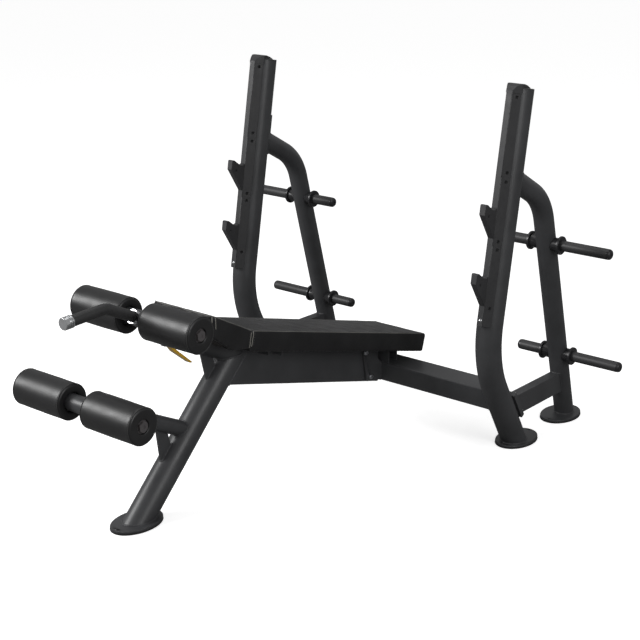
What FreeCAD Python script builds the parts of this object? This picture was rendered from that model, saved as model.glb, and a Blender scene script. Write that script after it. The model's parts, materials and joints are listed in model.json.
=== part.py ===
import FreeCAD, Part
import math
import os

from FreeCAD import Vector

# Olympic decline bench press, all sizes in millimetres.
# X is across the bench, +Y runs from the leg rollers to the bar rack, +Z is up.
# The origin is on the floor, at the middle of the bench's footprint.

# ---- rack: spacing of the two side frames and their tubes ----
RACK_HALF = 595.0          # centre plane to the middle of each side frame
MAIN_TUBE_R = 47.5
LEG_TUBE_R = 38.0
TUBE_WALL = 3.0
UPRIGHT_KINK = (378.7, 382.0)      # (y, z) where the two straight runs of an upright would meet
UPRIGHT_LEAN = 9.43                # degrees from vertical, upper run, leaning back
UPRIGHT_FOOT_LEAN = 30.9           # degrees from vertical, lower run
UPRIGHT_BEND_R = 379.0
UPRIGHT_TOP = 977.0                # along the upper run, from the kink
LEG_KINK = (717.7, 921.0)
LEG_LEAN = 15.73                   # degrees from vertical, lower run of the rear leg
STAY_RISE = 28.7                   # degrees from level, upper run of the rear leg
LEG_BEND_R = 196.0

# ---- feet ----
FOOT_HALF_X = 70.0
FOOT_HALF_Y = 102.0
RUBBER_T = 5.0
FOOT_PLATE_T = 9.0
FOOT_SCREW_INSET = 11.5
FLOOR_TO_TUBE = RUBBER_T + FOOT_PLATE_T
FOOT_X = 591.0                     # the rack's foot plates sit slightly inboard
FRONT_FOOT_Y = -790.0
UPRIGHT_FOOT_Y = 625.0
REAR_FOOT_Y = 951.7

# ---- beams ----
BEAM_FRONT_Y = 480.0
BEAM_DEPTH = 118.0
BEAM_BOTTOM_Z = 157.0
BEAM_HEIGHT = 75.0
BEAM_END_X = 556.0
BEAM_WALL = 4.0
SIDE_BEAM_WIDTH = 40.0
SIDE_BEAM_HEIGHT = 80.0
SIDE_BEAM_Z = 160.0                # mid height
SPINE_WIDTH = 80.0
SPINE_HEIGHT = 130.0
SPINE_SLOPE = 15.15                # degrees, falling towards the rack
SPINE_BOTTOM_Z = 279.0             # underside height at y = 0
SPINE_REAR_Y = 474.0
CHEEK_T = 10.0

# ---- front post, a tube that leans back over the front foot ----
POST_FOOT_Y = -789.2
POST_ANGLE = 45.18

# ---- pads ----
PAD_SLOPE = 15.0                   # degrees, falling towards the rack
PAD_TOP_Z = 496.7                  # top of the back pad at y = 0
PAD_T = 75.0
PAD_HALF_W = 122.0
PAD_HEAD_Y = 678.0
PAD_BEND_Y = -340.0
SEAM_TOP_Y = PAD_BEND_Y            # where the seat and back cushions meet
SEAM_TOP_Z = 587.8
SEAM_BOTTOM = (-354.0, 527.0)
HEAD_CORNER_R = 12.0
SEAT_CORNER_R = 27.0
SEAM_GAP = 0.6
SEAT_FRONT_Y = -550.5
SEAT_FRONT_Z = (621.8, 696.5)
SEAT_KNEE = (-450.0, 546.0)         # where the seat's underside turns up
SEAT_FRONT_HALF_W = 147.0
BOARD_T = 12.0
BOARD_INSET = 16.0

# ---- leg rollers and their carriers ----
LOWER_ROLLER = (-992.2, 482.0)
UPPER_ROLLER = (-737.0, 704.0)
UPPER_SLOPE = 27.3                 # degrees, both carriers fall towards the post
LOWER_SLOPE = 26.5
HANDLE_SLOPE = 25.6
ROLLER_R = 61.5
ROLLER_LENGTH = 224.0
ROLLER_GAP = 97.0                  # between the two rollers of a pair
CROSS_R = 28.0
CARRIER_R = 27.5
GUIDE_R = 34.0
GUIDE_WALL = 3.0
SLIDE_WALL = 6.0
AXLE_R = 12.5
RUN_CLEARANCE = 0.05
CORE_R = 30.0

# ---- plate horns ----
HORN_R = 20.0
HORN_OUTER = 272.0                 # from the leg's axis to the horn's end
HORN_INNER = 175.0
HORN_HEIGHTS = (748.0, 279.0)

# ---- bar hooks and their covers, measured from an upright's upper axis ----
NOSE_FRONT = 72.0                  # forward of the axis
NOSE_HALF_W = 12.0
NOSE_BASE_HALF_W = 29.0
NOSE_BASE = 39.0
COVER_SEAMS = (140.0, 429.0, 670.0, 961.0)     # along the axis, from the kink
HOOK_LEVELS = (333.0, 575.0)                   # top of each hook's tip
PLATE_T = 8.0
COVER_GAP = 0.3

parts = {}


def save(name, *solids):
    """Keeps the solids of one node; a node of identical pieces holds several."""
    parts[name] = list(solids)


def rad(degrees):
    return math.radians(degrees)


# ---------------------------------------------------------------- shapes

def box(x, y, z):
    """A block between two limits on each axis."""
    return Part.makeBox(x[1] - x[0], y[1] - y[0], z[1] - z[0], Vector(x[0], y[0], z[0]))


def rod(start, end, radius):
    """A solid cylinder between two points."""
    run = Vector(end) - Vector(start)
    return Part.makeCylinder(radius, run.Length, Vector(start), run)


def pipe(start, end, radius, wall):
    return rod(start, end, radius).cut(rod(start, end, radius - wall))


def plate(outline, x):
    """A flat piece: a closed outline of (y, z) points, swept between two x values."""
    points = [Vector(x[0], y, z) for y, z in outline]
    face = Part.Face(Part.makePolygon(points + points[:1]))
    return face.extrude(Vector(x[1] - x[0], 0, 0))


def rounded(solid, radius, pick):
    """Rounds the edges for which pick(edge) is true."""
    edges = [e for e in solid.Edges if pick(e)]
    return solid.makeFillet(radius, edges) if edges else solid


def along_x(edge):
    """True for a straight edge that runs across the bench."""
    ends = [v.Point for v in edge.Vertexes]
    return len(ends) == 2 and abs((ends[1] - ends[0]).normalize().x) > 0.999


def mirrored(solid):
    return solid.mirror(Vector(0, 0, 0), Vector(1, 0, 0))


class Run:
    """A sloping line in the side view: places points along it and square to it."""

    def __init__(self, origin, angle):
        self.origin = origin
        self.cos = math.cos(rad(angle))
        self.sin = math.sin(rad(angle))

    def yz(self, along, across=0.0):
        y = self.origin[0] + along * self.cos - across * self.sin
        z = self.origin[1] + along * self.sin + across * self.cos
        return y, z

    def at(self, along, across=0.0, x=0.0):
        return Vector(x, *self.yz(along, across))

    def block(self, along, across, x):
        """A block whose sides follow the line."""
        corners = [(along[0], across[0]), (along[1], across[0]),
                   (along[1], across[1]), (along[0], across[1])]
        return plate([self.yz(*c) for c in corners], x)

    def outline(self, points, x):
        return plate([self.yz(*p) for p in points], x)


def bent_path(start, kink, end, bend_r):
    """Straight, arc, straight: the centre line of a tube bent once."""
    start, kink, end = Vector(start), Vector(kink), Vector(end)
    before = (start - kink).normalize()
    after = (end - kink).normalize()
    half = before.getAngle(after) / 2
    setback = bend_r / math.tan(half)
    a = kink + before * setback
    b = kink + after * setback
    centre = kink + (before + after).normalize() * (bend_r / math.sin(half))
    middle = centre + (kink - centre).normalize() * bend_r
    arc = Part.Arc(a, middle, b).toShape()
    return Part.Wire([Part.makeLine(start, a), arc, Part.makeLine(b, end)])


def swept(path, radius):
    """A solid of round section along a path."""
    start = path.Vertexes[0].Point
    first = path.Edges[0]
    direction = first.tangentAt(first.FirstParameter)
    ring = Part.Wire([Part.makeCircle(radius, start, direction)])
    return path.makePipeShell([ring], True, True)


def oval(centre, half_x, half_y, z):
    """An elliptical plate lying flat."""
    middle = Vector(centre[0], centre[1], z[0])
    ellipse = Part.Ellipse(middle + Vector(0, half_y, 0), middle + Vector(half_x, 0, 0), middle)
    face = Part.Face(Part.Wire([ellipse.toShape()]))
    return face.extrude(Vector(0, 0, z[1] - z[0]))


def hexagon(centre, direction, across_flats, height):
    """A six-sided prism standing on centre."""
    radius = across_flats / math.sqrt(3)
    base = Part.makePolygon([Vector(radius * math.cos(rad(60 * i)), radius * math.sin(rad(60 * i)), 0)
                             for i in range(7)])
    solid = Part.Face(base).extrude(Vector(0, 0, height))
    turn = FreeCAD.Rotation(Vector(0, 0, 1), Vector(direction))
    return solid.transformGeometry(FreeCAD.Placement(Vector(centre), turn).toMatrix())


def hex_bolt(seat, direction, shank_r, shank, across_flats=17.0, head=7.0):
    """A hex bolt: the head stands on seat against direction, the shank runs along it."""
    seat, direction = Vector(seat), Vector(direction).normalize()
    bevel = Part.makeCone(across_flats / math.sqrt(3) + head * 0.1, across_flats * 0.42, head,
                          seat, direction * -1)
    return hexagon(seat, direction * -1, across_flats, head).common(bevel).fuse(
        rod(seat, seat + direction * shank, shank_r)).removeSplitter()


# ---------------------------------------------------------------- reference lines

spine_run = Run((0.0, SPINE_BOTTOM_Z), -SPINE_SLOPE)
pad_run = Run((PAD_BEND_Y, PAD_TOP_Z - PAD_BEND_Y * math.tan(rad(PAD_SLOPE))), -PAD_SLOPE)
post_run = Run((POST_FOOT_Y, 0.0), POST_ANGLE)
upper_run = Run(UPPER_ROLLER, -UPPER_SLOPE)
lower_run = Run(LOWER_ROLLER, -LOWER_SLOPE)
handle_run = Run(UPPER_ROLLER, -HANDLE_SLOPE)
rack_run = Run(UPRIGHT_KINK, 90.0 - UPRIGHT_LEAN)
foot_run = Run(UPRIGHT_KINK, 270.0 + UPRIGHT_FOOT_LEAN)
leg_run = Run(LEG_KINK, 270.0 + LEG_LEAN)
stay_run = Run(LEG_KINK, 180.0 - STAY_RISE)


def upright_path(x):
    foot = foot_run.at(UPRIGHT_KINK[1] / math.cos(rad(UPRIGHT_FOOT_LEAN)), 0, x)
    return bent_path(foot, Vector(x, *UPRIGHT_KINK), rack_run.at(UPRIGHT_TOP, 0, x), UPRIGHT_BEND_R)


def leg_path(x):
    foot = leg_run.at(LEG_KINK[1] / math.cos(rad(LEG_LEAN)), 0, x)
    return bent_path(foot, Vector(x, *LEG_KINK), stay_run.at(260.0, 0, x), LEG_BEND_R)


def above_floor_plates(solid):
    """Trims a leg to stand on its foot plate."""
    reach = 2000.0
    return solid.cut(box((-reach, reach), (-reach, reach), (-reach, FLOOR_TO_TUBE)))


upright_solids = {1: swept(upright_path(RACK_HALF), MAIN_TUBE_R)}
leg_solids = {1: swept(leg_path(RACK_HALF), LEG_TUBE_R)}
post_solid = rod(post_run.at(-60), post_run.at(800), MAIN_TUBE_R)


def both_sides(name, solid):
    """Saves a right-hand piece, and its mirror image as the left-hand one."""
    save("right_" + name, solid)
    save("left_" + name, mirrored(solid))


def pairs(name, *solids):
    """Saves right-hand pieces and their mirror images together in one node."""
    save(name, *solids, *[mirrored(s) for s in solids])


# ---------------------------------------------------------------- side frames

FLANGE_T = 8.0
FLANGE_HALF_W = 42.0
FLANGE_FRONT = 38.0                # behind the upright's lower axis
FLANGE_HALF_L = 60.0
FLANGE_BOLT_X = 31.0
FLANGE_BOLT_L = 46.0
FLANGE_MID = 272.0                 # along the lower axis, from the kink
STAY_PLATE = (604.0, 762.0)        # along the upper axis
STAY_PLATE_HALF_W = 24.0
STAY_PLATE_BACK = 51.5


def uprights():
    tube = upright_solids[1].cut(swept(upright_path(RACK_HALF), MAIN_TUBE_R - TUBE_WALL))
    both_sides("upright", above_floor_plates(tube))


def rear_legs():
    """The leg, with its forward-reaching stay ended on the stay plate."""
    tube = leg_solids[1].cut(swept(leg_path(RACK_HALF), LEG_TUBE_R - TUBE_WALL))
    tube = tube.cut(upright_solids[1]).cut(stay_plate())
    both_sides("rear_leg", above_floor_plates(max(tube.Solids, key=lambda t: t.Volume)))


def stay_plate():
    """The doubler on the upright's back, under the stay."""
    x = (RACK_HALF - STAY_PLATE_HALF_W, RACK_HALF + STAY_PLATE_HALF_W)
    plate_block = rack_run.block(STAY_PLATE, (-STAY_PLATE_BACK, -STAY_PLATE_BACK + 12.0), x)
    return plate_block.cut(upright_solids[1])


def frame_plates():
    """Stay plates, and the two bolted flanges between an upright and its side beam."""
    x = (RACK_HALF - FLANGE_HALF_W, RACK_HALF + FLANGE_HALF_W)
    span = (FLANGE_MID - FLANGE_HALF_L, FLANGE_MID + FLANGE_HALF_L)
    fixed = foot_run.block(span, (FLANGE_FRONT, FLANGE_FRONT + 10.0), x)
    loose = foot_run.block(span, (FLANGE_FRONT + 10.0, FLANGE_FRONT + 10.0 + FLANGE_T), x)
    solids = [stay_plate(), fixed.cut(upright_solids[1]), loose]
    holes = [rod(foot_run.at(a, FLANGE_FRONT + 2.0, bx), foot_run.at(a, FLANGE_FRONT + 30.0, bx), 5.0)
             for a, bx in flange_bolt_places()]
    solids = [solids[0]] + [s.cut(Part.makeCompound(holes)) for s in solids[1:]]
    return solids


def flange_bolt_places():
    return [(FLANGE_MID + a, RACK_HALF + b)
            for a in (-FLANGE_BOLT_L, FLANGE_BOLT_L) for b in (-FLANGE_BOLT_X, FLANGE_BOLT_X)]


def side_beams():
    x = (RACK_HALF - SIDE_BEAM_WIDTH / 2, RACK_HALF + SIDE_BEAM_WIDTH / 2)
    z = (SIDE_BEAM_Z - SIDE_BEAM_HEIGHT / 2, SIDE_BEAM_Z + SIDE_BEAM_HEIGHT / 2)
    y = (400.0, LEG_KINK[0] + 300.0)
    beam = box(x, y, z).cut(box((x[0] + 3, x[1] - 3), y, (z[0] + 3, z[1] - 3)))
    ahead = foot_run.block((-400, 800), (-400, FLANGE_FRONT + 10.0 + FLANGE_T), (0, 1000))
    behind = leg_run.block((0, 1200), (0, 400), (0, 1000))
    pairs("side_beams", beam.cut(ahead).cut(leg_solids[1]).cut(behind))


def frame_bolts():
    """Flange bolts, and the bright bolt below each lower hook."""
    seat = FLANGE_FRONT + 10.0 + FLANGE_T
    bolts = [hex_bolt(foot_run.at(a, seat, bx), foot_run.at(0, -1) - foot_run.at(0, 0), 5.0, 15.0, 16.0, 6.5)
             for a, bx in flange_bolt_places()]
    return bolts


def feet():
    """Oval foot plates under the five legs, each on a rubber pad, with two dome-head screws."""
    spots = [(0.0, FRONT_FOOT_Y)]
    for x in (-FOOT_X, FOOT_X):
        spots += [(x, UPRIGHT_FOOT_Y), (x, REAR_FOOT_Y)]
    screw_y = FOOT_HALF_Y - FOOT_SCREW_INSET
    plates, pads, screws = [], [], []
    for spot in spots:
        steel = oval(spot, FOOT_HALF_X, FOOT_HALF_Y, (RUBBER_T, FLOOR_TO_TUBE))
        rubber = oval(spot, FOOT_HALF_X + 1.0, FOOT_HALF_Y, (0.0, RUBBER_T))
        for side in (-1, 1):
            place = Vector(spot[0], spot[1] + side * screw_y, 0)
            hole = rod(place + Vector(0, 0, 2), place + Vector(0, 0, 20), 4.0)
            dome = Part.makeSphere(7.0, place + Vector(0, 0, FLOOR_TO_TUBE - 4.0))
            dome = dome.common(box((place.x - 9, place.x + 9), (place.y - 9, place.y + 9),
                                   (FLOOR_TO_TUBE, FLOOR_TO_TUBE + 9)))
            steel = steel.cut(hole)
            rubber = rubber.cut(hole)
            screws.append(dome.fuse(rod(place + Vector(0, 0, 2), place + Vector(0, 0, FLOOR_TO_TUBE), 4.0)))
        top = [e for e in steel.Edges if abs(e.BoundBox.ZMin - FLOOR_TO_TUBE) < 0.01 and e.Length > 100]
        plates.append(steel.makeChamfer(2.0, top))
        pads.append(rubber)
    save("foot_plates", *plates)
    save("foot_pads", *pads)
    save("foot_screws", *screws)


# ---------------------------------------------------------------- plate horns

COLLAR_R = 35.0
COLLAR_START = 58.0                # from the leg's axis
COLLAR_T = 10.0
COLLAR_SLEEVE_R = 26.0
HORN_ROOT_R = 19.0
HORN_SHOULDER = 70.0
HORN_CAP_T = 14.0


def horns():
    """Eight level horns, two out and two in from each leg, each with a collar and a domed end cap."""
    tubes, collars, caps = [], [], []
    for z in HORN_HEIGHTS:
        y = LEG_KINK[0] + (LEG_KINK[1] - z) * math.tan(rad(LEG_LEAN))
        for side, length in ((1, HORN_OUTER), (-1, HORN_INNER)):
            start = Vector(RACK_HALF, y, z)
            step = Vector(side, 0, 0)
            end = start + step * (length - HORN_CAP_T)
            shoulder = start + step * HORN_SHOULDER
            tube = rod(start, shoulder, HORN_ROOT_R).fuse(rod(shoulder, end, HORN_R))
            tube = tube.cut(rod(start, end, HORN_R - 5.0)).cut(leg_solids[1])
            tubes.append(tube.removeSplitter())
            sleeve = rod(start + step * 20, start + step * COLLAR_START, COLLAR_SLEEVE_R)
            ring = rod(start + step * COLLAR_START, start + step * (COLLAR_START + COLLAR_T), COLLAR_R)
            ring = rounded(ring, 2.5, lambda e: e.Length > 150)
            collar = sleeve.fuse(ring).cut(rod(start, start + step * 100, HORN_ROOT_R)).cut(leg_solids[1])
            collars.append(collar.removeSplitter())
            cap = rod(end, end + step * HORN_CAP_T, HORN_R - 0.3)
            tip = (end + step * HORN_CAP_T).x
            rim = [e for e in cap.Edges if abs(e.BoundBox.XMin - tip) < 0.01 and e.Length > 100]
            cap = cap.makeFillet(10.0, rim).fuse(rod(end - step * 10, end, HORN_R - 5.0))
            socket = rod(end + step * (HORN_CAP_T - 3), end + step * (HORN_CAP_T + 1), 4.0)
            caps.append(cap.cut(socket).removeSplitter())
    pairs("plate_horns", *tubes)
    pairs("horn_collars", *collars)
    pairs("horn_end_caps", *caps)


# ---------------------------------------------------------------- bar hooks and covers

HOOK_REACH = 147.0
HOOK_TIP_FLAT = 14.0
HOOK_TIP_DROP = 37.0               # height of the tip's outer face
HOOK_ROOT_DROP = 120.0             # where the underside meets the cover, below the tip
SADDLE_DROP = 19.0                 # lowest point of the saddle, below the tip
SADDLE_AT = 90.0
STEEL_INSET = 8.0                  # the steel lies this far inside the covers
SCREW_FORWARD = 53.0
SCREW_INSETS = ((66.0, 13.0), (16.0, 15.0), (17.0, 13.0))   # screw to the cover's (lower, upper) end
HOOK_SCREW = (120.0, 40.0)         # forward of the axis, below the tip
CAP_FLANGE_T = 4.5
FRONT_BOLT_AT = 160.0              # along the axis


def rack_at(forward, along, x=0.0):
    return rack_run.at(along, forward, x)


def hook_outline(level, inset=0.0):
    """One hook in (along, forward) form, drawn inwards by inset."""
    reach = HOOK_REACH - inset
    top = level - inset
    return [(level - HOOK_ROOT_DROP + inset * 1.6, 40.0),
            (level - HOOK_ROOT_DROP + inset * 1.6, NOSE_FRONT - inset),
            (level - HOOK_TIP_DROP + inset, reach),
            (top - 4.0, reach),
            (top, reach - 4.0),
            (top, reach - HOOK_TIP_FLAT + inset / 2),
            (top - SADDLE_DROP, SADDLE_AT + 6.0),
            (top - SADDLE_DROP, SADDLE_AT - 6.0),
            (top - SADDLE_DROP + 7.0, NOSE_FRONT - (inset if inset else 0.0)),
            (top - SADDLE_DROP + 7.0, 40.0)]


def nose(span):
    """The tapering cover section between two levels, hollowed to sit on the upright."""
    section = [(-NOSE_BASE_HALF_W, 30.0), (-NOSE_BASE_HALF_W, NOSE_BASE), (-NOSE_HALF_W, NOSE_FRONT),
               (NOSE_HALF_W, NOSE_FRONT), (NOSE_BASE_HALF_W, NOSE_BASE), (NOSE_BASE_HALF_W, 30.0)]
    points = [rack_at(f, span[0], RACK_HALF + x) for x, f in section]
    face = Part.Face(Part.makePolygon(points + points[:1]))
    solid = face.extrude(rack_at(0, span[1]) - rack_at(0, span[0]))
    edges = [e for e in solid.Edges if abs(e.Length - (span[1] - span[0])) < 0.01
             and abs((e.Vertexes[0].Point - rack_at(NOSE_FRONT, span[0], RACK_HALF)).dot(
                 rack_at(1, 0) - rack_at(0, 0))) < 1.0]
    return solid.makeFillet(3.0, edges)


def steel_outline(level):
    return hook_outline(level, STEEL_INSET)


def hook_steel(grow=0.0):
    """The welded steel plate that carries both hooks; grow widens it to make the covers' slot."""
    x = (RACK_HALF - PLATE_T / 2 - grow, RACK_HALF + PLATE_T / 2 + grow)
    span = (COVER_SEAMS[0] + 4.0 - grow, COVER_SEAMS[3] - 4.0 + grow)
    strip = rack_run.block(span, (40.0, NOSE_FRONT - STEEL_INSET + grow), x)
    solid = strip
    for level in HOOK_LEVELS:
        solid = solid.fuse(rack_run.outline(steel_outline(level), x))
        if grow:
            for da, df in ((grow, 0), (-grow, 0), (0, grow), (0, -grow)):
                moved = [(a + da, f + df) for a, f in steel_outline(level)]
                solid = solid.fuse(rack_run.outline(moved, x))
    return solid.removeSplitter()


def cover(index):
    """One moulded cover; the lower two carry a hook."""
    low, high = COVER_SEAMS[index], COVER_SEAMS[index + 1]
    solid = nose((low, high - COVER_GAP))
    if index < 2:
        x = (RACK_HALF - NOSE_HALF_W, RACK_HALF + NOSE_HALF_W)
        hook = rack_run.outline(hook_outline(HOOK_LEVELS[index]), x)
        hook = hook.makeFillet(1.5, [e for e in hook.Edges if not along_x(e) and e.Length > 12])
        solid = solid.fuse(hook)
    axis = rod(rack_at(0, low - 5), rack_at(0, high + 5), MAIN_TUBE_R + COVER_GAP)
    axis.translate(Vector(RACK_HALF, 0, 0))
    solid = solid.cut(axis).cut(hook_steel(COVER_GAP))
    for screw in cover_screw_places(index):
        solid = solid.cut(screw_hole(screw))
    if index == 0:
        solid = solid.cut(rod(rack_at(NOSE_FRONT - 6, FRONT_BOLT_AT, RACK_HALF),
                              rack_at(NOSE_FRONT + 6, FRONT_BOLT_AT, RACK_HALF), 3.0))
    return max(solid.Solids, key=lambda s: s.Volume)


def cover_screw_places(index):
    """(forward, along, half length) of each screw through one cover."""
    low, high = SCREW_INSETS[index][0], SCREW_INSETS[index][1]
    levels = (COVER_SEAMS[index] + low, COVER_SEAMS[index + 1] - high)
    places = [(SCREW_FORWARD, level, 19.0) for level in levels]
    if index < 2:
        places.append((HOOK_SCREW[0], HOOK_LEVELS[index] - HOOK_SCREW[1], 12.0))
    return places


def screw_hole(place):
    forward, along, half = place
    bore = rod(rack_at(forward, along, RACK_HALF - 40), rack_at(forward, along, RACK_HALF + 40), 3.2)
    for side in (-1, 1):
        seat = rack_at(forward, along, RACK_HALF + side * (half - 3.5))
        bore = bore.fuse(rod(seat, seat + Vector(side * 20, 0, 0), 6.2))
    return bore


def cover_screw(place):
    """A through screw with a socket head in each side's counterbore."""
    forward, along, half = place
    left = rack_at(forward, along, RACK_HALF - half + 3.5)
    right = rack_at(forward, along, RACK_HALF + half - 3.5)
    solid = rod(left, right, 3.0)
    for seat, side in ((left, -1), (right, 1)):
        head = rod(seat, seat + Vector(side * 2.5, 0, 0), 5.8)
        socket = rod(seat + Vector(side * 1.0, 0, 0), seat + Vector(side * 3.0, 0, 0), 2.4)
        solid = solid.fuse(head).cut(socket)
    return solid.removeSplitter()


def cap_profile():
    """Side view of the top cap, as (along, forward) points."""
    top = COVER_SEAMS[3]
    rise = UPRIGHT_TOP + 5.0
    return [(top, 30.0), (top, NOSE_FRONT + 1.0), (top + 8.0, NOSE_FRONT + 1.0), (top + 24.0, 60.0),
            (top + 32.0, 44.0), (top + 34.0, 26.0), (top + 30.0, 6.0), (top + 23.0, -12.0),
            (rise, -14.0), (rise, 30.0)]


def top_cap():
    """The moulding over the cover and the upright's end, with a plug down inside the tube."""
    wide = NOSE_BASE_HALF_W + 2.0
    low = COVER_SEAMS[3]
    hood = rack_run.outline(cap_profile(), (RACK_HALF - wide, RACK_HALF + wide))
    plan = [(-wide, -20.0), (-wide, NOSE_BASE), (-NOSE_HALF_W - 1, NOSE_FRONT + 1),
            (NOSE_HALF_W + 1, NOSE_FRONT + 1), (wide, NOSE_BASE), (wide, -20.0)]
    points = [rack_at(f, low, RACK_HALF + x) for x, f in plan]
    column = Part.Face(Part.makePolygon(points + points[:1])).extrude(rack_at(0, 80) - rack_at(0, 0))
    end = rack_at(0, UPRIGHT_TOP, RACK_HALF)
    tube_top = rod(rack_at(0, low - 5, RACK_HALF), end, MAIN_TUBE_R + COVER_GAP)
    hood = max(hood.common(column).cut(tube_top).Solids, key=lambda s: s.Volume)
    flange = rod(end, rack_at(0, UPRIGHT_TOP + CAP_FLANGE_T, RACK_HALF), MAIN_TUBE_R)
    rim = [e for e in flange.Edges if e.Length > 200 and e.BoundBox.Center.z > end.z + 2]
    flange = flange.makeFillet(2.5, rim)
    plug = rod(rack_at(0, UPRIGHT_TOP - 25, RACK_HALF), end, MAIN_TUBE_R - TUBE_WALL)
    return hood.fuse(flange).fuse(plug).removeSplitter()


def hooks_and_covers():
    steel = hook_steel().cut(upright_solids[1])
    screws = []
    for index in range(3):
        for place in cover_screw_places(index):
            steel = steel.cut(rod(rack_at(place[0], place[1], RACK_HALF - 40),
                                  rack_at(place[0], place[1], RACK_HALF + 40), 3.0))
            screws.append(cover_screw(place))
    pairs("hook_plates", steel)
    pairs("cover_screws", *screws)
    for index, name in enumerate(("lower_hook_covers", "upper_hook_covers", "top_covers")):
        pairs(name, cover(index))
    pairs("top_caps", top_cap())
    face = rack_at(NOSE_FRONT, FRONT_BOLT_AT, RACK_HALF)
    inward = rack_at(-1, 0) - rack_at(0, 0)
    bolt = rod(face + inward * 6, face, 3.0)
    dome = Part.makeSphere(8.0, face + inward * 4).cut(rod(face, face + inward * 20, 20))
    pairs("set_bolts", bolt.fuse(dome).removeSplitter())


# ---------------------------------------------------------------- crossbeam and spine

CHEEK_BOLTS = ((414.0, 190.0), (380.0, 297.0))
CHEEK_BOLT_R = 6.0


def crossbeam():
    y = (BEAM_FRONT_Y, BEAM_FRONT_Y + BEAM_DEPTH)
    z = (BEAM_BOTTOM_Z, BEAM_BOTTOM_Z + BEAM_HEIGHT)
    beam = box((-BEAM_END_X, BEAM_END_X), y, z)
    beam = rounded(beam, 5.0, along_x)
    t = BEAM_WALL
    inner = BEAM_END_X - 16.0
    beam = beam.cut(box((-inner, inner), (y[0] + t, y[1] - t), (z[0] + t, z[1] - t)))
    span = (FLANGE_MID - FLANGE_HALF_L - 1, FLANGE_MID + FLANGE_HALF_L + 1)
    flange = foot_run.block(span, (FLANGE_FRONT, FLANGE_FRONT + 28.0),
                            (RACK_HALF - FLANGE_HALF_W - 0.5, RACK_HALF))
    for solid in (upright_solids[1], flange):
        beam = beam.cut(solid).cut(mirrored(solid))
    save("crossbeam", beam)


def spine_beam():
    """The declined box beam, coped to the post and cut upright at the rack end."""
    half = SPINE_WIDTH / 2
    length = (-460.0, 560.0)
    beam = spine_run.block(length, (0, SPINE_HEIGHT), (-half, half))
    long_edges = [e for e in beam.Edges if e.Length > 900]
    beam = beam.makeFillet(5.0, long_edges)
    t = BEAM_WALL
    beam = beam.cut(spine_run.block(length, (t, SPINE_HEIGHT - t), (-half + t, half - t)))
    reach = 500.0
    beam = beam.cut(box((-reach, reach), (SPINE_REAR_Y, SPINE_REAR_Y + reach), (-reach, reach)))
    ahead = post_run.block((-200, 1200), (10, 800), (-reach, reach))
    beam = max(beam.cut(ahead).cut(post_solid).Solids, key=lambda s: s.Volume)
    for y, z in CHEEK_BOLTS:
        beam = beam.cut(rod((-reach, y, z), (reach, y, z), CHEEK_BOLT_R))
    save("spine_beam", beam)


def spine_cheeks():
    """The two plates on the crossbeam that hold the spine's end between them."""
    beam_top = BEAM_BOTTOM_Z + BEAM_HEIGHT
    outline = [(367.0, 309.0), (391.0, 176.0), (BEAM_FRONT_Y, BEAM_BOTTOM_Z + 2), (BEAM_FRONT_Y, beam_top - 4),
               (430.0, 291.0)]
    x = (SPINE_WIDTH / 2, SPINE_WIDTH / 2 + CHEEK_T)
    cheek = plate(outline, x)
    for y, z in CHEEK_BOLTS:
        cheek = cheek.cut(rod((0, y, z), (100, y, z), CHEEK_BOLT_R))
    save("spine_cheeks", cheek, mirrored(cheek))


def spine_bolts():
    """Two through bolts with washers' worth of head, and their nuts."""
    seat = SPINE_WIDTH / 2 + CHEEK_T
    bolts, nuts = [], []
    for y, z in CHEEK_BOLTS:
        bolts.append(hex_bolt((seat, y, z), (-1, 0, 0), CHEEK_BOLT_R, 2 * seat + 14, 19.0, 8.0))
        nut = hexagon((-seat, y, z), (-1, 0, 0), 19.0, 10.0)
        nuts.append(nut.cut(rod((-seat + 5, y, z), (-seat - 20, y, z), CHEEK_BOLT_R)))
    save("spine_bolts", *bolts, *nuts)


# ---------------------------------------------------------------- front post and roller carriers

GUIDE_START = 95.0                 # along the upper carrier, from the roller axis
GUIDE_END = 240.0
SLEEVE_START = 215.0
SLEEVE_RING_T = 8.0
CARRIER_REACH = 560.0              # past the post's axis, before coping
SLIDE_END = 330.0
BUSH_LENGTH = 24.0
BUSH_AT = (GUIDE_START, 200.0)
KEYWAY_HALF = 6.2
KEYWAY_DEPTH = 2.5
INDEX_R = 5.6
INDEX_STEP = 20
PLUNGER_AT = 140.0
PLUNGER_R = 4.0
PLUNGER_SHOULDER_R = 8.0
HOUSING_R = 11.0
HOUSING_BOTTOM = -50.0             # heights here are above the carrier's axis
HOUSING_FLOOR = -47.0
SHOULDER = (-38.0, -36.0)
BUTTON = (-61.6, -59.3)
LEVER_PIVOT = (112.0, -47.0)
LEVER_HALF_W = 12.0
EAR = (12.5, 17.0)
PIN_R = 4.0
CROSS_HALF = ROLLER_GAP / 2 + 8.0


def under_pad():
    """Everything above a plane a little below the back pad."""
    reach = 600.0
    return pad_run.block((-400, 1300), (-PAD_T - 4.0, reach), (-reach, reach))


def front_post():
    post = post_solid.cut(rod(post_run.at(-70), post_run.at(810), MAIN_TUBE_R - TUBE_WALL))
    post = above_floor_plates(post).cut(under_pad())
    save("front_post", max(post.Solids, key=lambda s: s.Volume))


def ahead_of_post(solid):
    """Copes a carrier to the post and keeps the piece ahead of it."""
    behind = post_run.block((-200, 1300), (-400, 5), (-100, 100))
    return max(solid.cut(behind).cut(post_solid).Solids, key=lambda s: s.Volume)


def across_rod(axis, half, radius):
    """A cylinder across the bench, about a roller pair's axis."""
    return rod((-half, *axis), (half, *axis), radius)


def gusset(outline, carrier):
    """A 10 mm web between a carrier and the post; its inner corner is left open."""
    web = plate(outline, (-5.0, 5.0)).cut(post_solid).cut(carrier)
    return max(web.Solids, key=lambda s: s.Volume)


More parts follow.
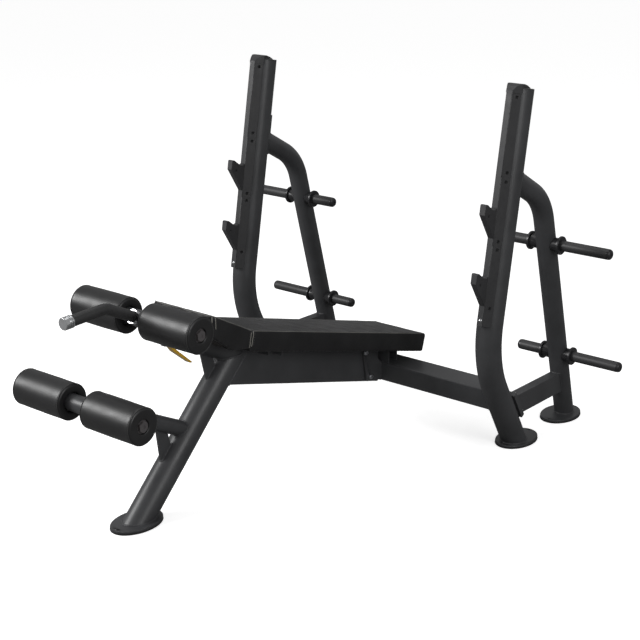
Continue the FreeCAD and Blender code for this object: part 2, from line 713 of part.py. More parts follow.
def lower_carrier():
    """The fixed tube to the lower rollers, its web and its cross tube."""
    cross = across_rod(LOWER_ROLLER, CROSS_HALF, CROSS_R)
    solid = rod(lower_run.at(0), lower_run.at(CARRIER_REACH), CARRIER_R)
    tube = solid.cut(rod(lower_run.at(0), lower_run.at(CARRIER_REACH), CARRIER_R - TUBE_WALL))
    save("lower_stub", ahead_of_post(tube.cut(cross)))
    save("lower_cross_tube", cross.cut(across_rod(LOWER_ROLLER, 90, AXLE_R)))
    web = [(-689.0, 312.0), (-671.0, 180.0), (-617.0, 205.0), (-645.0, 300.0)]
    save("lower_gusset", gusset(web, solid))


def upper_carrier():
    """The fixed sleeve with its guide tube, the web below it and the guide's liners."""
    solid = rod(upper_run.at(SLEEVE_START), upper_run.at(CARRIER_REACH), MAIN_TUBE_R)
    bore = rod(upper_run.at(SLEEVE_START + SLEEVE_RING_T), upper_run.at(CARRIER_REACH), MAIN_TUBE_R - BEAM_WALL)
    sleeve = ahead_of_post(solid.cut(bore))
    guide = rod(upper_run.at(GUIDE_START), upper_run.at(GUIDE_END), GUIDE_R)
    inside = rod(upper_run.at(GUIDE_START), upper_run.at(GUIDE_END), GUIDE_R - GUIDE_WALL)
    hole = rod(upper_run.at(PLUNGER_AT), upper_run.at(PLUNGER_AT, -80), PLUNGER_R + 1.0)
    save("upper_sleeve", sleeve.fuse(guide).cut(inside).cut(hole).removeSplitter())
    web = [(-480.0, 555.0), (-443.0, 405.0), (-398.0, 430.0), (-425.0, 520.0)]
    save("upper_gusset", gusset(web, solid))
    wall = GUIDE_R - GUIDE_WALL - CARRIER_R - RUN_CLEARANCE
    save("sleeve_liners", *[pipe(upper_run.at(start), upper_run.at(start + BUSH_LENGTH), GUIDE_R - GUIDE_WALL, wall)
                            for start in BUSH_AT])


def slide_tube():
    """The sliding tube, with a keyway and index holes along its underside, and its cross tube."""
    cross = across_rod(UPPER_ROLLER, CROSS_HALF, CROSS_R)
    tube = pipe(upper_run.at(0), upper_run.at(SLIDE_END), CARRIER_R, SLIDE_WALL)
    key = upper_run.block((50, SLIDE_END + 10), (-CARRIER_R - 5, -CARRIER_R + KEYWAY_DEPTH),
                          (-KEYWAY_HALF, KEYWAY_HALF))
    tube = tube.cut(cross).cut(key)
    for along in range(int(PLUNGER_AT) - 3 * INDEX_STEP, int(SLIDE_END) - 10, INDEX_STEP):
        tube = tube.cut(rod(upper_run.at(along), upper_run.at(along, -60), INDEX_R))
    save("slide_tube", max(tube.Solids, key=lambda s: s.Volume))
    save("upper_cross_tube", cross.cut(across_rod(UPPER_ROLLER, 90, AXLE_R)))


def plunger():
    """The spring plunger under the guide tube, in its housing."""

    def turned(top, bottom, radius):
        return rod(upper_run.at(PLUNGER_AT, top), upper_run.at(PLUNGER_AT, bottom), radius)

    tip = -CARRIER_R + KEYWAY_DEPTH - 0.1
    pin = turned(tip, BUTTON[1], PLUNGER_R).fuse(turned(SHOULDER[1], SHOULDER[0], PLUNGER_SHOULDER_R))
    save("plunger_pin", pin.fuse(turned(BUTTON[1], BUTTON[0], PLUNGER_SHOULDER_R)).removeSplitter())
    barrel = turned(-20, HOUSING_BOTTOM, HOUSING_R).cut(rod(upper_run.at(0), upper_run.at(400), GUIDE_R))
    barrel = barrel.cut(turned(-20, HOUSING_FLOOR, PLUNGER_SHOULDER_R + RUN_CLEARANCE))
    barrel = barrel.cut(turned(-20, HOUSING_BOTTOM - 5, PLUNGER_R + RUN_CLEARANCE))
    save("plunger_housing", max(barrel.Solids, key=lambda s: s.Volume))
    top, bottom = SHOULDER[0] - 0.1, HOUSING_FLOOR + 0.1
    save("plunger_spring", turned(top, bottom, 7.4).cut(turned(top, bottom, 5.2)))


def lever():
    """The release lever on its pin, between two ears under the guide tube."""
    pivot = upper_run.at(*LEVER_PIVOT)
    side = Vector(1, 0, 0)
    along = (LEVER_PIVOT[0] - 10, LEVER_PIVOT[0] + 10)
    ears = []
    for x in (EAR, (-EAR[1], -EAR[0])):
        ear = upper_run.block(along, (LEVER_PIVOT[1] - 8, -20), x)
        ear = ear.cut(rod(upper_run.at(0), upper_run.at(400), GUIDE_R))
        ears.append(ear.cut(rod(pivot - side * 30, pivot + side * 30, PIN_R)))
    save("lever_bracket", *ears)
    pin = rod(pivot - side * 19, pivot + side * 19, PIN_R)
    for sign in (-1, 1):
        pin = pin.fuse(rod(pivot + side * sign * 17.2, pivot + side * sign * 20, 6.5))
    save("lever_pin", pin.removeSplitter())
    outline = [(103, -50), (107, -55), (128, -57.5), (150, -58.7), (172, -61), (188, -69), (278, -87), (285, -85),
               (285, -81), (188, -58), (150, -53), (128, -52), (121, -47), (117, -38), (107, -38), (103, -43)]
    blade = upper_run.outline(outline, (-LEVER_HALF_W, LEVER_HALF_W))
    slot = upper_run.block((PLUNGER_AT - PLUNGER_R - 3, PLUNGER_AT + PLUNGER_R + 3), (-100, -20),
                           (-PLUNGER_R - 1, PLUNGER_R + 1))
    hole = rod(pivot - side * 30, pivot + side * 30, PIN_R + RUN_CLEARANCE)
    save("release_lever", blade.cut(slot).cut(hole))


HANDLE_BEND = -158.0               # along the handle, ahead of the roller axis
HANDLE_TIP_RISE = 2.5              # degrees
HANDLE_BEND_R = 60.0
HANDLE_R = 12.5
GRIP_R = 19.0
GRIP_SPAN = (-38.2, 142.0)         # from the collar, to along the tip
COLLAR_BACK = -20.0
HANDLE_COLLAR_R = 23.5
CAP_RING_R = 20.8
CAP_NECK_R = 18.0
CAP_HEAD = (157.0, 174.0)


def handle():
    """The grab handle: a bent tube ahead of the upper cross tube, with grip, collar and end cap."""
    tip_run = Run(handle_run.yz(HANDLE_BEND), 180.0 + HANDLE_TIP_RISE)

    def line(start, end):
        return bent_path(handle_run.at(start), handle_run.at(HANDLE_BEND), tip_run.at(end), HANDLE_BEND_R)

    def turned(start, end, radius):
        return rod(tip_run.at(start), tip_run.at(end), radius)

    path = line(0, 166.0)
    core = swept(path, HANDLE_R)
    cross = across_rod(UPPER_ROLLER, 90, CROSS_R)
    tube = core.cut(swept(path, HANDLE_R - TUBE_WALL)).cut(cross)
    save("grab_handle", max(tube.Solids, key=lambda s: s.Volume))
    collar = rod(handle_run.at(COLLAR_BACK), handle_run.at(GRIP_SPAN[0] + 0.2), HANDLE_COLLAR_R).cut(cross).cut(core)
    save("handle_collar", max(collar.Solids, key=lambda s: s.Volume))
    save("handle_grip", swept(line(*GRIP_SPAN), GRIP_R).cut(core))
    start = GRIP_SPAN[1] + 0.2
    cap = turned(start, start + 5, CAP_RING_R).fuse(turned(start, CAP_HEAD[0], CAP_NECK_R))
    cap = cap.fuse(turned(start + 7, start + 12, CAP_RING_R))
    head = turned(CAP_HEAD[0], CAP_HEAD[1], CAP_RING_R)
    head = head.makeFillet(3.0, [e for e in head.Edges if e.Length > 100 and e.Closed])
    facets = hexagon(tip_run.at(CAP_HEAD[0]), tip_run.at(1) - tip_run.at(0), 2 * CAP_RING_R - 3, 40.0)
    save("handle_end_cap", cap.fuse(head.common(facets)).cut(core).removeSplitter())


# ---------------------------------------------------------------- leg rollers

CAP_RECESS = 10.0
HEX_CAP_FLATS = 32.0


def roller(axis, side):
    """(foam, core) of one roller, on the side given by its sign."""
    near, far = ROLLER_GAP / 2, ROLLER_GAP / 2 + ROLLER_LENGTH
    start, end = Vector(side * near, *axis), Vector(side * far, *axis)
    step = Vector(side, 0, 0)
    foam = rod(start, end, ROLLER_R)
    foam = foam.makeFillet(9.0, [e for e in foam.Edges if e.Length > 300 and e.Closed])
    foam = foam.cut(rod(start, end, CORE_R))
    core = rod(start + step * 9.0, end - step * CAP_RECESS, CORE_R)
    core = core.cut(rod(start, end, AXLE_R + RUN_CLEARANCE))
    return foam, core


def rollers():
    for name, axis in (("lower", LOWER_ROLLER), ("upper", UPPER_ROLLER)):
        caps = []
        for side, word in ((-1, "left"), (1, "right")):
            foam, core = roller(axis, side)
            save(f"{name}_{word}_roller", foam)
            save(f"{name}_{word}_roller_core", core)
            seat = Vector(side * (ROLLER_GAP / 2 + ROLLER_LENGTH - CAP_RECESS + 0.8), *axis)
            step = Vector(side, 0, 0)
            washer = rod(seat, seat + step * 2.0, 22.0)
            nut = hexagon(seat + step * 2.0, step, HEX_CAP_FLATS, 9.0)
            nut = nut.common(Part.makeCone(HEX_CAP_FLATS * 0.66, HEX_CAP_FLATS * 0.54, 9.0, seat + step * 2.0, step))
            dimple = rod(seat + step * 9.0, seat + step * 12.0, 6.0)
            caps.append(washer.fuse(nut).cut(dimple).removeSplitter())
        reach = ROLLER_GAP / 2 + ROLLER_LENGTH - CAP_RECESS + 0.8
        save(f"{name}_axle", rod((-reach, *axis), (reach, *axis), AXLE_R))
        save(f"{name}_axle_caps", *caps)


# ---------------------------------------------------------------- pads

BRACKET_LONG = (-225.0, -150.0)    # y limits of the three supports under the back pad
BRACKET_SHORT = (228.0, 272.0)
STAND = (490.0, 545.0)
BRACKET_DROP = 19.0
BRACKET_T = 4.0
SUPPORT_HALF_X = (90.0, 70.0, 80.0)
PAD_BOLT_X = 55.0
PAD_BOLT_R = 4.0
PAD_BOLT_L = 14.0


def cushion(side, plan, radius, corner):
    """A cushion from its side view and its plan; corner(edge) picks the edges rounded in plan."""
    body = plate(side, (-200.0, 200.0))
    points = [Vector(x, y, 0) for x, y in plan] + [Vector(-x, y, 0) for x, y in reversed(plan)]
    tall = Part.Face(Part.makePolygon(points + points[:1])).extrude(Vector(0, 0, 900))
    body = body.common(tall)
    return body.makeFillet(radius, [e for e in body.Edges if corner(e)])


def leg_channel():
    """The hollow under the cushions for the upper sleeve."""
    half = MAIN_TUBE_R + 3.0
    return upper_run.block((100, 470), (-150, MAIN_TUBE_R + 2.5), (-half, half))


def back_pad():
    length = (PAD_HEAD_Y - PAD_BEND_Y) / math.cos(rad(PAD_SLOPE))
    seam_along = (SEAM_BOTTOM[0] + SEAM_GAP - pad_run.yz(0, -PAD_T)[0]) / math.cos(rad(PAD_SLOPE))
    side = [pad_run.yz(SEAM_GAP), pad_run.yz(length), pad_run.yz(length, -PAD_T),
            pad_run.yz(seam_along, -PAD_T)]
    plan = [(PAD_HALF_W + 2, -420.0), (PAD_HALF_W + 1.5, PAD_HEAD_Y + 30)]
    body = cushion(side, plan, HEAD_CORNER_R,
                   lambda e: e.BoundBox.YMin > PAD_HEAD_Y - 30 and abs(e.Length - PAD_T) < 1)
    save("back_pad", body.cut(leg_channel()).cut(back_board()).cut(bolt_shanks()))


def back_board():
    """The board let into the underside of the back cushion."""
    half = PAD_HALF_W - BOARD_INSET
    board = pad_run.block((52, 1028), (-PAD_T, -PAD_T + BOARD_T), (-half, half))
    return rounded(board, 18.0, lambda e: abs(e.Length - BOARD_T) < 0.01).cut(bolt_shanks())


def bolt_shanks():
    """The shanks that reach up into the board."""
    up = pad_run.at(0, 1) - pad_run.at(0, 0)
    return Part.makeCompound([rod(Vector(*place) - up * BRACKET_T, Vector(*place) + up * (PAD_BOLT_L - BRACKET_T),
                                  PAD_BOLT_R) for place in pad_bolt_places()])


def seat_pad():
    """The short front cushion, wider at the knees."""
    side = [(SEAT_FRONT_Y, SEAT_FRONT_Z[1]), (SEAM_TOP_Y, SEAM_TOP_Z), SEAM_BOTTOM, SEAT_KNEE,
            (SEAT_FRONT_Y - 4, SEAT_FRONT_Z[0])]
    plan = [(SEAT_FRONT_HALF_W + 1, SEAT_FRONT_Y - 10), (PAD_HALF_W + 2, SEAM_TOP_Y)]
    plan.append((PAD_HALF_W + 2, SEAM_TOP_Y + 10))
    body = cushion(side, plan, SEAT_CORNER_R, lambda e: e.BoundBox.YMax < SEAT_FRONT_Y + 6 and abs(e.Length - 75) < 2)
    save("seat_pad", body.cut(leg_channel()).cut(seat_board(1)).cut(seat_board(-1)))


def seat_board(side):
    """One of the two boards under the seat, beside the channel."""
    rise = math.degrees(math.atan2(SEAT_FRONT_Z[0] - SEAT_KNEE[1], SEAT_KNEE[0] - SEAT_FRONT_Y + 4))
    under = Run(SEAT_KNEE, 180.0 - rise)
    inner, outer = MAIN_TUBE_R + 9.0, PAD_HALF_W - 6.0
    x = (inner, outer) if side > 0 else (-outer, -inner)
    return under.block((14, 116), (-BOARD_T, 0), x)


def pad_bolt_places():
    """Where the bolts pass the back pad's underside."""
    spots = []
    for span in (BRACKET_LONG, BRACKET_SHORT, STAND):
        middle = (span[0] + span[1]) / 2
        along = (middle - pad_run.yz(0, -PAD_T)[0]) / math.cos(rad(PAD_SLOPE))
        spots += [(side * PAD_BOLT_X, *pad_run.yz(along, -PAD_T)) for side in (-1, 1)]
    return spots


def support(span, bottom, half_x):
    """A channel open at its sides: top plate and two webs, down to a line or a level."""
    reach = 1400.0
    t = BRACKET_T
    x = (-half_x, half_x)
    outer = box(x, span, (0, 900)).cut(pad_run.block((-200, reach), (-PAD_T, reach), (-200, 200)))
    inner = box(x, (span[0] + t, span[1] - t), (0, 900))
    inner = inner.cut(pad_run.block((-200, reach), (-PAD_T - t, reach), (-200, 200)))
    return outer.cut(inner).cut(bottom)


def pad_brackets():
    """Three supports welded to the spine and crossbeam, bolted up into the board."""
    below = pad_run.block((-200, 1400), (-1000, -PAD_T - BRACKET_DROP), (-200, 200))
    spine = spine_run.block((-500, 700), (-200, SPINE_HEIGHT), (-SPINE_WIDTH / 2, SPINE_WIDTH / 2))
    top = spine_run.block((-500, 700), (-400, SPINE_HEIGHT), (-200, 200))
    beam = box((-300, 300), (0, 900), (-100, BEAM_BOTTOM_Z + BEAM_HEIGHT))
    wide, narrow, stand = SUPPORT_HALF_X
    supports = [support(BRACKET_LONG, below.fuse(spine), wide), support(BRACKET_SHORT, top, narrow),
                support(STAND, beam, stand)]
    up = pad_run.at(0, 1) - pad_run.at(0, 0)
    bolts = []
    for place in pad_bolt_places():
        seat = Vector(*place) - up * BRACKET_T
        bolts.append(hex_bolt(seat, up, PAD_BOLT_R, PAD_BOLT_L, 13.0, 5.5))
    save("pad_brackets", *[s.cut(bolt_shanks()) for s in supports])
    save("pad_bolts", *bolts)


# ---------------------------------------------------------------- build

def build():
    uprights()
    rear_legs()
    frame = frame_plates()
    pairs("frame_plates", *frame)
    side_beams()
    bolts = frame_bolts()
    pairs("frame_bolts", *bolts)
    feet()
    horns()
    hooks_and_covers()
    crossbeam()
    spine_beam()
    spine_cheeks()
    spine_bolts()
    front_post()
    lower_carrier()
    upper_carrier()
    slide_tube()
    plunger()
    lever()
    handle()
    rollers()
    back_pad()
    seat_pad()
    save("pad_boards", back_board(), seat_board(1), seat_board(-1))
    pad_brackets()


def export():
    os.makedirs("parts", exist_ok=True)
    for name, solids in parts.items():
        shape = solids[0] if len(solids) == 1 else Part.makeCompound(solids)
        shape.exportStep(f"parts/{name}.step")


build()
export()
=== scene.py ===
import json
import math

import bmesh
import bpy
import numpy as np
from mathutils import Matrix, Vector, noise
from mathutils.bvhtree import BVHTree
from mathutils.kdtree import KDTree


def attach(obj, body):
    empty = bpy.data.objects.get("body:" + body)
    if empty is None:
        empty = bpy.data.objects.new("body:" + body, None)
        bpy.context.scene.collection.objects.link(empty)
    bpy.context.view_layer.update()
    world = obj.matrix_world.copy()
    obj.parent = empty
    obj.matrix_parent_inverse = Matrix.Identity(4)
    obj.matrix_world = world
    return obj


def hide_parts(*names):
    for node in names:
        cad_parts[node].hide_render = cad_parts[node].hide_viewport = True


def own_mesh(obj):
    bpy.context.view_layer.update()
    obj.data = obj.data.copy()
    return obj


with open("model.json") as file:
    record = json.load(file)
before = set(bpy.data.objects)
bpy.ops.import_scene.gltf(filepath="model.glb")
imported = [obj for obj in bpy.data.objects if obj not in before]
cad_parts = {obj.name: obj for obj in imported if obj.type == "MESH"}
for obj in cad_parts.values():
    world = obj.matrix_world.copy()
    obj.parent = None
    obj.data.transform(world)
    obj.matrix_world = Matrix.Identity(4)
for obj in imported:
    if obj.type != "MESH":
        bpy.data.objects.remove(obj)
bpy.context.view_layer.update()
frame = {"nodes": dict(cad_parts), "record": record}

# A decline bench press, in metres: +X across, +Y from the leg rollers to the rack, +Z up.

NODES = frame["nodes"]

# cushions: side view as (y, z), and half widths
PAD_FALL = math.tan(math.radians(15.0))
PAD_TOP_Z = 0.4967
PAD_BEND_Y = -0.340
PAD_HEAD_Y = 0.678
PAD_T = 0.075                      # square to the slope
SEAM_TOP = (-0.3400, 0.5878)
SEAM_BOTTOM = (-0.3540, 0.5270)
SEAT_FRONT = (-0.5505, 0.6965)
SEAT_FRONT_BOTTOM = (-0.5545, 0.6218)
PAD_HALF_W = 0.1235
SEAT_HALF_W = 0.1470
SEAT_CORNER_R = 0.027
HEAD_CORNER_R = 0.012

# rollers
LOWER_AXIS = (-0.9922, 0.4820)
UPPER_AXIS = (-0.7370, 0.7040)
ROLLER_R = 0.0615
ROLLER_NEAR = 0.0485               # from the centre plane to the roller's inner and outer end
ROLLER_FAR = 0.2725


# ---------------------------------------------------------------- materials

EDGE_RUB = 0.0012                  # how far a paler rub reaches from a sharp edge


class Graph:
    """Short-hand for building a node tree round one principled shader."""

    def __init__(self, name):
        self.mat = bpy.data.materials.new(name)
        self.mat.use_nodes = True
        self.tree = self.mat.node_tree
        self.tree.nodes.clear()
        out = self.add("ShaderNodeOutputMaterial")
        self.bsdf = self.add("ShaderNodeBsdfPrincipled")
        self.link(self.bsdf, "BSDF", out, "Surface")
        self.coord = self.add("ShaderNodeTexCoord")
        self.normal = None

    def add(self, kind, **settings):
        node = self.tree.nodes.new(kind)
        for key, value in settings.items():
            setattr(node, key, value)
        return node

    def link(self, a, out, b, into):
        self.tree.links.new(a.outputs[out], b.inputs[into])

    def set(self, **values):
        for key, value in values.items():
            self.bsdf.inputs[key.replace("_", " ")].default_value = value

    def texture(self, kind, scale, stretch=None, **inputs):
        node = self.add(kind)
        node.inputs["Scale"].default_value = scale
        for key, value in inputs.items():
            node.inputs[key].default_value = value
        if stretch:
            mapping = self.add("ShaderNodeMapping")
            mapping.inputs["Scale"].default_value = stretch
            self.link(self.coord, "Object", mapping, "Vector")
            self.link(mapping, "Vector", node, "Vector")
        else:
            self.link(self.coord, "Object", node, "Vector")
        return node

    def noise(self, scale, detail=3.0, stretch=None):
        return self.texture("ShaderNodeTexNoise", scale, stretch, Detail=detail)

    def cells(self, scale, stretch=None):
        node = self.texture("ShaderNodeTexVoronoi", scale, stretch)
        node.feature = "DISTANCE_TO_EDGE"
        return node

    def ramp(self, source, out, stops):
        node = self.add("ShaderNodeValToRGB")
        elements = node.color_ramp.elements
        while len(elements) < len(stops):
            elements.new(0.5)
        for element, (place, colour) in zip(elements, stops):
            element.position = place
            element.color = (*colour, 1.0)
        self.link(source, out, node, "Fac")
        return node

    def spread(self, source, low, high, start=0.3, end=0.7):
        """Maps a texture to a number between low and high."""
        node = self.add("ShaderNodeMapRange")
        for key, value in (("From Min", start), ("From Max", end), ("To Min", low), ("To Max", high)):
            node.inputs[key].default_value = value
        self.link(source, 0, node, "Value")
        return node

    def bump(self, source, out, strength, distance):
        node = self.add("ShaderNodeBump")
        node.inputs["Strength"].default_value = strength
        node.inputs["Distance"].default_value = distance
        self.link(source, out, node, "Height")
        if self.normal:
            self.link(self.normal, "Normal", node, "Normal")
        self.normal = node
        self.link(node, "Normal", self.bsdf, "Normal")

    def colour(self, base, low=0.85, high=1.15, scale=7.0, edge=None):
        """Base colour with a broad drift, and a paler rub along the edges."""
        drift = self.noise(scale, 4.0)
        darker, paler = [c * low for c in base], [c * high for c in base]
        tone = self.ramp(drift, "Fac", [(0.35, darker), (0.65, paler)])
        if edge is None:
            self.link(tone, "Color", self.bsdf, "Base Color")
            return
        broken = self.spread(self.noise(160.0, 5.0), 0.0, 0.8, 0.42, 0.66)
        sharp = self.edges()
        both = self.add("ShaderNodeMath", operation="MULTIPLY")
        self.link(sharp, 0, both, 0)
        self.link(broken, 0, both, 1)
        mix = self.add("ShaderNodeMixRGB")
        mix.inputs["Color2"].default_value = (*edge, 1.0)
        self.link(both, 0, mix, "Fac")
        self.link(tone, "Color", mix, "Color1")
        self.link(mix, "Color", self.bsdf, "Base Color")

    def edges(self):
        """Near 1 within a millimetre of a sharp edge, 0 elsewhere."""
        shape = self.add("ShaderNodeNewGeometry")
        soft = self.add("ShaderNodeBevel", samples=4)
        soft.inputs["Radius"].default_value = EDGE_RUB
        turn = self.add("ShaderNodeVectorMath", operation="DOT_PRODUCT")
        self.link(shape, "Normal", turn, 0)
        self.link(soft, "Normal", turn, 1)
        node = self.add("ShaderNodeMapRange")
        node.inputs["From Min"].default_value = 0.985
        node.inputs["From Max"].default_value = 0.90
        self.link(turn, "Value", node, "Value")
        return node

    def roughness(self, low, high, scale=30.0):
        self.link(self.spread(self.noise(scale, 4.0), low, high), 0, self.bsdf, "Roughness")


def powder_coat(name, base, low, high, edge):
    """Fine-texture satin coat: orange peel over a fine speckle."""
    g = Graph(name)
    g.colour(base, edge=edge)
    g.roughness(low, high, 14.0)
    g.bump(g.noise(260.0, 2.0), "Fac", 0.10, 0.0006)
    g.bump(g.noise(1500.0, 2.0), "Fac", 0.18, 0.0002)
    g.set(Specular_IOR_Level=0.5)
    return g.mat


def moulded_plastic(name, base, low, high, grain):
    """Moulded part with a spark-eroded grain."""
    g = Graph(name)
    g.colour(base, 0.9, 1.1, 12.0, edge=[c * 2.2 for c in base])
    g.roughness(low, high, 40.0)
    g.bump(g.cells(grain), "Distance", 0.10, 0.0003)
    g.bump(g.noise(grain * 1.7, 2.0), "Fac", 0.12, 0.0002)
    return g.mat


def leather(name, base):
    """Upholstery leather: pebble grain, creases and a soft sheen."""
    g = Graph(name)
    g.colour(base, 0.85, 1.2, 9.0, edge=[c * 1.9 for c in base])
    g.roughness(0.42, 0.56, 22.0)
    g.bump(g.noise(45.0, 5.0), "Fac", 0.12, 0.0015)
    g.bump(g.cells(620.0), "Distance", 0.35, 0.0005)
    g.bump(g.cells(1500.0), "Distance", 0.15, 0.0002)
    g.set(Specular_IOR_Level=0.24, Sheen_Weight=0.03, Sheen_Roughness=0.4)
    return g.mat


def foam_skin(name, base):
    """Smooth integral skin with a faint flow and pinholes."""
    g = Graph(name)
    g.colour(base, 0.85, 1.15, 8.0, edge=[c * 2.0 for c in base])
    g.roughness(0.36, 0.48, 18.0)
    g.bump(g.noise(60.0, 4.0), "Fac", 0.08, 0.0010)
    g.bump(g.cells(1100.0), "Distance", 0.12, 0.0002)
    g.set(Specular_IOR_Level=0.55)
    return g.mat


def rubber(name, base, low=0.62, high=0.8):
    g = Graph(name)
    g.colour(base, 0.8, 1.2, 20.0, edge=[c * 2.0 for c in base])
    g.roughness(low, high, 60.0)
    g.bump(g.noise(700.0, 4.0), "Fac", 0.3, 0.0003)
    return g.mat


def metal(name, base, low, high, stretch, strength=0.12):
    """Bare or plated metal with fine directional marks."""
    g = Graph(name)
    g.colour(base, 0.9, 1.08, 60.0)
    g.roughness(low, high, 90.0)
    g.bump(g.noise(900.0, 3.0, stretch), "Fac", strength, 0.0002)
    g.set(Metallic=1.0)
    return g.mat


def gloss_coat(name, base, edge):
    g = Graph(name)
    g.colour(base, 0.92, 1.05, 25.0, edge=edge)
    g.roughness(0.22, 0.34, 30.0)
    g.bump(g.noise(300.0, 2.0), "Fac", 0.12, 0.0004)
    g.set(Coat_Weight=0.4, Coat_Roughness=0.12)
    return g.mat


def plywood(name):
    g = Graph(name)
    grain = g.noise(40.0, 6.0, (1.0, 9.0, 60.0))
    stops = [(0.3, (0.010, 0.009, 0.008)), (0.5, (0.020, 0.017, 0.015)), (0.7, (0.032, 0.028, 0.024))]
    tone = g.ramp(grain, "Fac", stops)
    g.link(tone, "Color", g.bsdf, "Base Color")
    g.roughness(0.55, 0.75, 40.0)
    g.bump(grain, "Fac", 0.25, 0.0004)
    return g.mat


def thread(name, base):
    g = Graph(name)
    g.colour(base, 0.8, 1.15, 300.0)
    g.roughness(0.55, 0.7, 200.0)
    g.bump(g.texture("ShaderNodeTexWave", 1400.0), "Fac", 0.4, 0.0002)
    g.set(Sheen_Weight=0.3)
    return g.mat


EDGE_GREY = (0.105, 0.105, 0.11)
MATERIALS = {
    "charcoal_coat": powder_coat("charcoal_coat", (0.052, 0.053, 0.056), 0.36, 0.44, EDGE_GREY),
    "hook_steel": powder_coat("hook_steel", (0.044, 0.044, 0.046), 0.40, 0.50, EDGE_GREY),
    "cover_plastic": moulded_plastic("cover_plastic", (0.034, 0.034, 0.036), 0.40, 0.52, 900.0),
    "dark_plastic": moulded_plastic("dark_plastic", (0.020, 0.020, 0.022), 0.24, 0.34, 1300.0),
    "horn_coat": powder_coat("horn_coat", (0.036, 0.036, 0.038), 0.42, 0.52, (0.16, 0.16, 0.16)),
    "pad_leather": leather("pad_leather", (0.0190, 0.0190, 0.0198)),
    "roller_skin": foam_skin("roller_skin", (0.0120, 0.0120, 0.0126)),
    "roller_core": moulded_plastic("roller_core", (0.016, 0.016, 0.018), 0.4, 0.55, 800.0),
    "foot_rubber": rubber("foot_rubber", (0.012, 0.012, 0.012)),
    "board": plywood("board"),
    "zinc": metal("zinc", (0.62, 0.63, 0.66), 0.24, 0.38, (1.0, 1.0, 8.0)),
    "black_steel": powder_coat("black_steel", (0.020, 0.020, 0.021), 0.28, 0.40, (0.2, 0.2, 0.2)),
    "chrome": metal("chrome", (0.70, 0.71, 0.72), 0.08, 0.18, (1.0, 1.0, 1.0), 0.03),
    "alu": metal("alu", (0.68, 0.69, 0.70), 0.16, 0.28, (9.0, 1.0, 1.0), 0.08),
    "lever_yellow": gloss_coat("lever_yellow", (0.72, 0.42, 0.02), (0.9, 0.75, 0.4)),
    "grip_rubber": rubber("grip_rubber", (0.028, 0.028, 0.029), 0.46, 0.60),
    "liner_plastic": moulded_plastic("liner_plastic", (0.60, 0.60, 0.57), 0.35, 0.5, 700.0),
    "spring_steel": metal("spring_steel", (0.45, 0.46, 0.48), 0.25, 0.4, (1.0, 6.0, 1.0)),
}
THREAD = thread("seam_thread", (0.10, 0.10, 0.10))
# Painted highlight: the top-edge welt is far paler than the cushion leather, standing in for the light
# caught along the top edges.
PAINTED_HIGHLIGHT_WELT = leather("welt_leather_painted_highlight", (0.150, 0.148, 0.140))
# Painted highlight: the roller welts are paler than the skin, standing in for the highlight on the end
# fillets.
PAINTED_HIGHLIGHT_ROLLER_WELT = foam_skin("roller_welt", (0.045, 0.045, 0.046))
# Painted highlight: the fold and corner welts are a pale cord, standing in for the bright lines where
# light catches them.
PAINTED_HIGHLIGHT_CORD = thread("fold_cord_painted_highlight", (0.30, 0.29, 0.26))
SLOTS = {part["node"]: part["material_slot"] for part in frame["record"]["subparts"]}
CAP_GREY = moulded_plastic("axle_cap_plastic", (0.085, 0.078, 0.080), 0.34, 0.46, 900.0)


# ---------------------------------------------------------------- meshes

SAME_POINT = 1e-5


def add_mesh(name, points, faces, mat, body, slot):
    """A new piece from points and faces, riding on a body."""
    mesh = bpy.data.meshes.new(name)
    mesh.from_pydata([tuple(p) for p in points], [], faces)
    mesh.validate()
    shape = bmesh.new()
    shape.from_mesh(mesh)
    bmesh.ops.recalc_face_normals(shape, faces=shape.faces)
    shape.to_mesh(mesh)
    shape.free()
    mesh.polygons.foreach_set("use_smooth", [True] * len(mesh.polygons))
    mesh.materials.append(mat)
    obj = bpy.data.objects.new(name, mesh)
    bpy.context.scene.collection.objects.link(obj)
    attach(obj, body)
    return obj


def rings_to_mesh(rings, closed_path):
    """Joins rings of equal count into (points, faces); the ends are capped unless the path closes."""
    count = len(rings[0])
    points = [p for ring in rings for p in ring]
    faces = []
    for i in range(len(rings) if closed_path else len(rings) - 1):
        a, b = i * count, ((i + 1) % len(rings)) * count
        for k in range(count):
            n = (k + 1) % count
            faces.append((a + k, a + n, b + n, b + k))
    if not closed_path:
        faces.append(tuple(range(count - 1, -1, -1)))
        last = (len(rings) - 1) * count
        faces.append(tuple(range(last, last + count)))
    return points, faces


def sweep(path, radius, closed=False, sides=10):
    """Round section along a path; radius is a number or a function of the distance gone."""
    path = [Vector(p) for p in path]
    count = len(path)
    rings = []
    side = None
    gone = 0.0
    for i, p in enumerate(path):
        before = path[i - 1] if (i or closed) else p
        after = path[(i + 1) % count] if (i < count - 1 or closed) else p
        direction = (after - before).normalized()
        if side is None:
            side = direction.orthogonal().normalized()
        side = (side - direction * side.dot(direction)).normalized()
        other = direction.cross(side)
        if i:
            gone += (p - path[i - 1]).length
        r = radius(gone) if callable(radius) else radius
        turns = [2 * math.pi * k / sides for k in range(sides)]
        rings.append([p + (side * math.cos(turn) + other * math.sin(turn)) * r for turn in turns])
    return rings_to_mesh(rings, closed)


def resample(path, step, closed=False):
    """The same line with points at equal steps."""
    path = [Vector(p) for p in path] + ([Vector(path[0])] if closed else [])
    lengths = [0.0]
    for a, b in zip(path, path[1:]):
        lengths.append(lengths[-1] + (b - a).length)
    count = max(2, round(lengths[-1] / step))
    out, at = [], 0
    for i in range(count + (0 if closed else 1)):
        want = lengths[-1] * i / count
        while at < len(path) - 2 and lengths[at + 1] < want:
            at += 1
        span = lengths[at + 1] - lengths[at]
        out.append(path[at].lerp(path[at + 1], (want - lengths[at]) / span if span else 0.0))
    return out


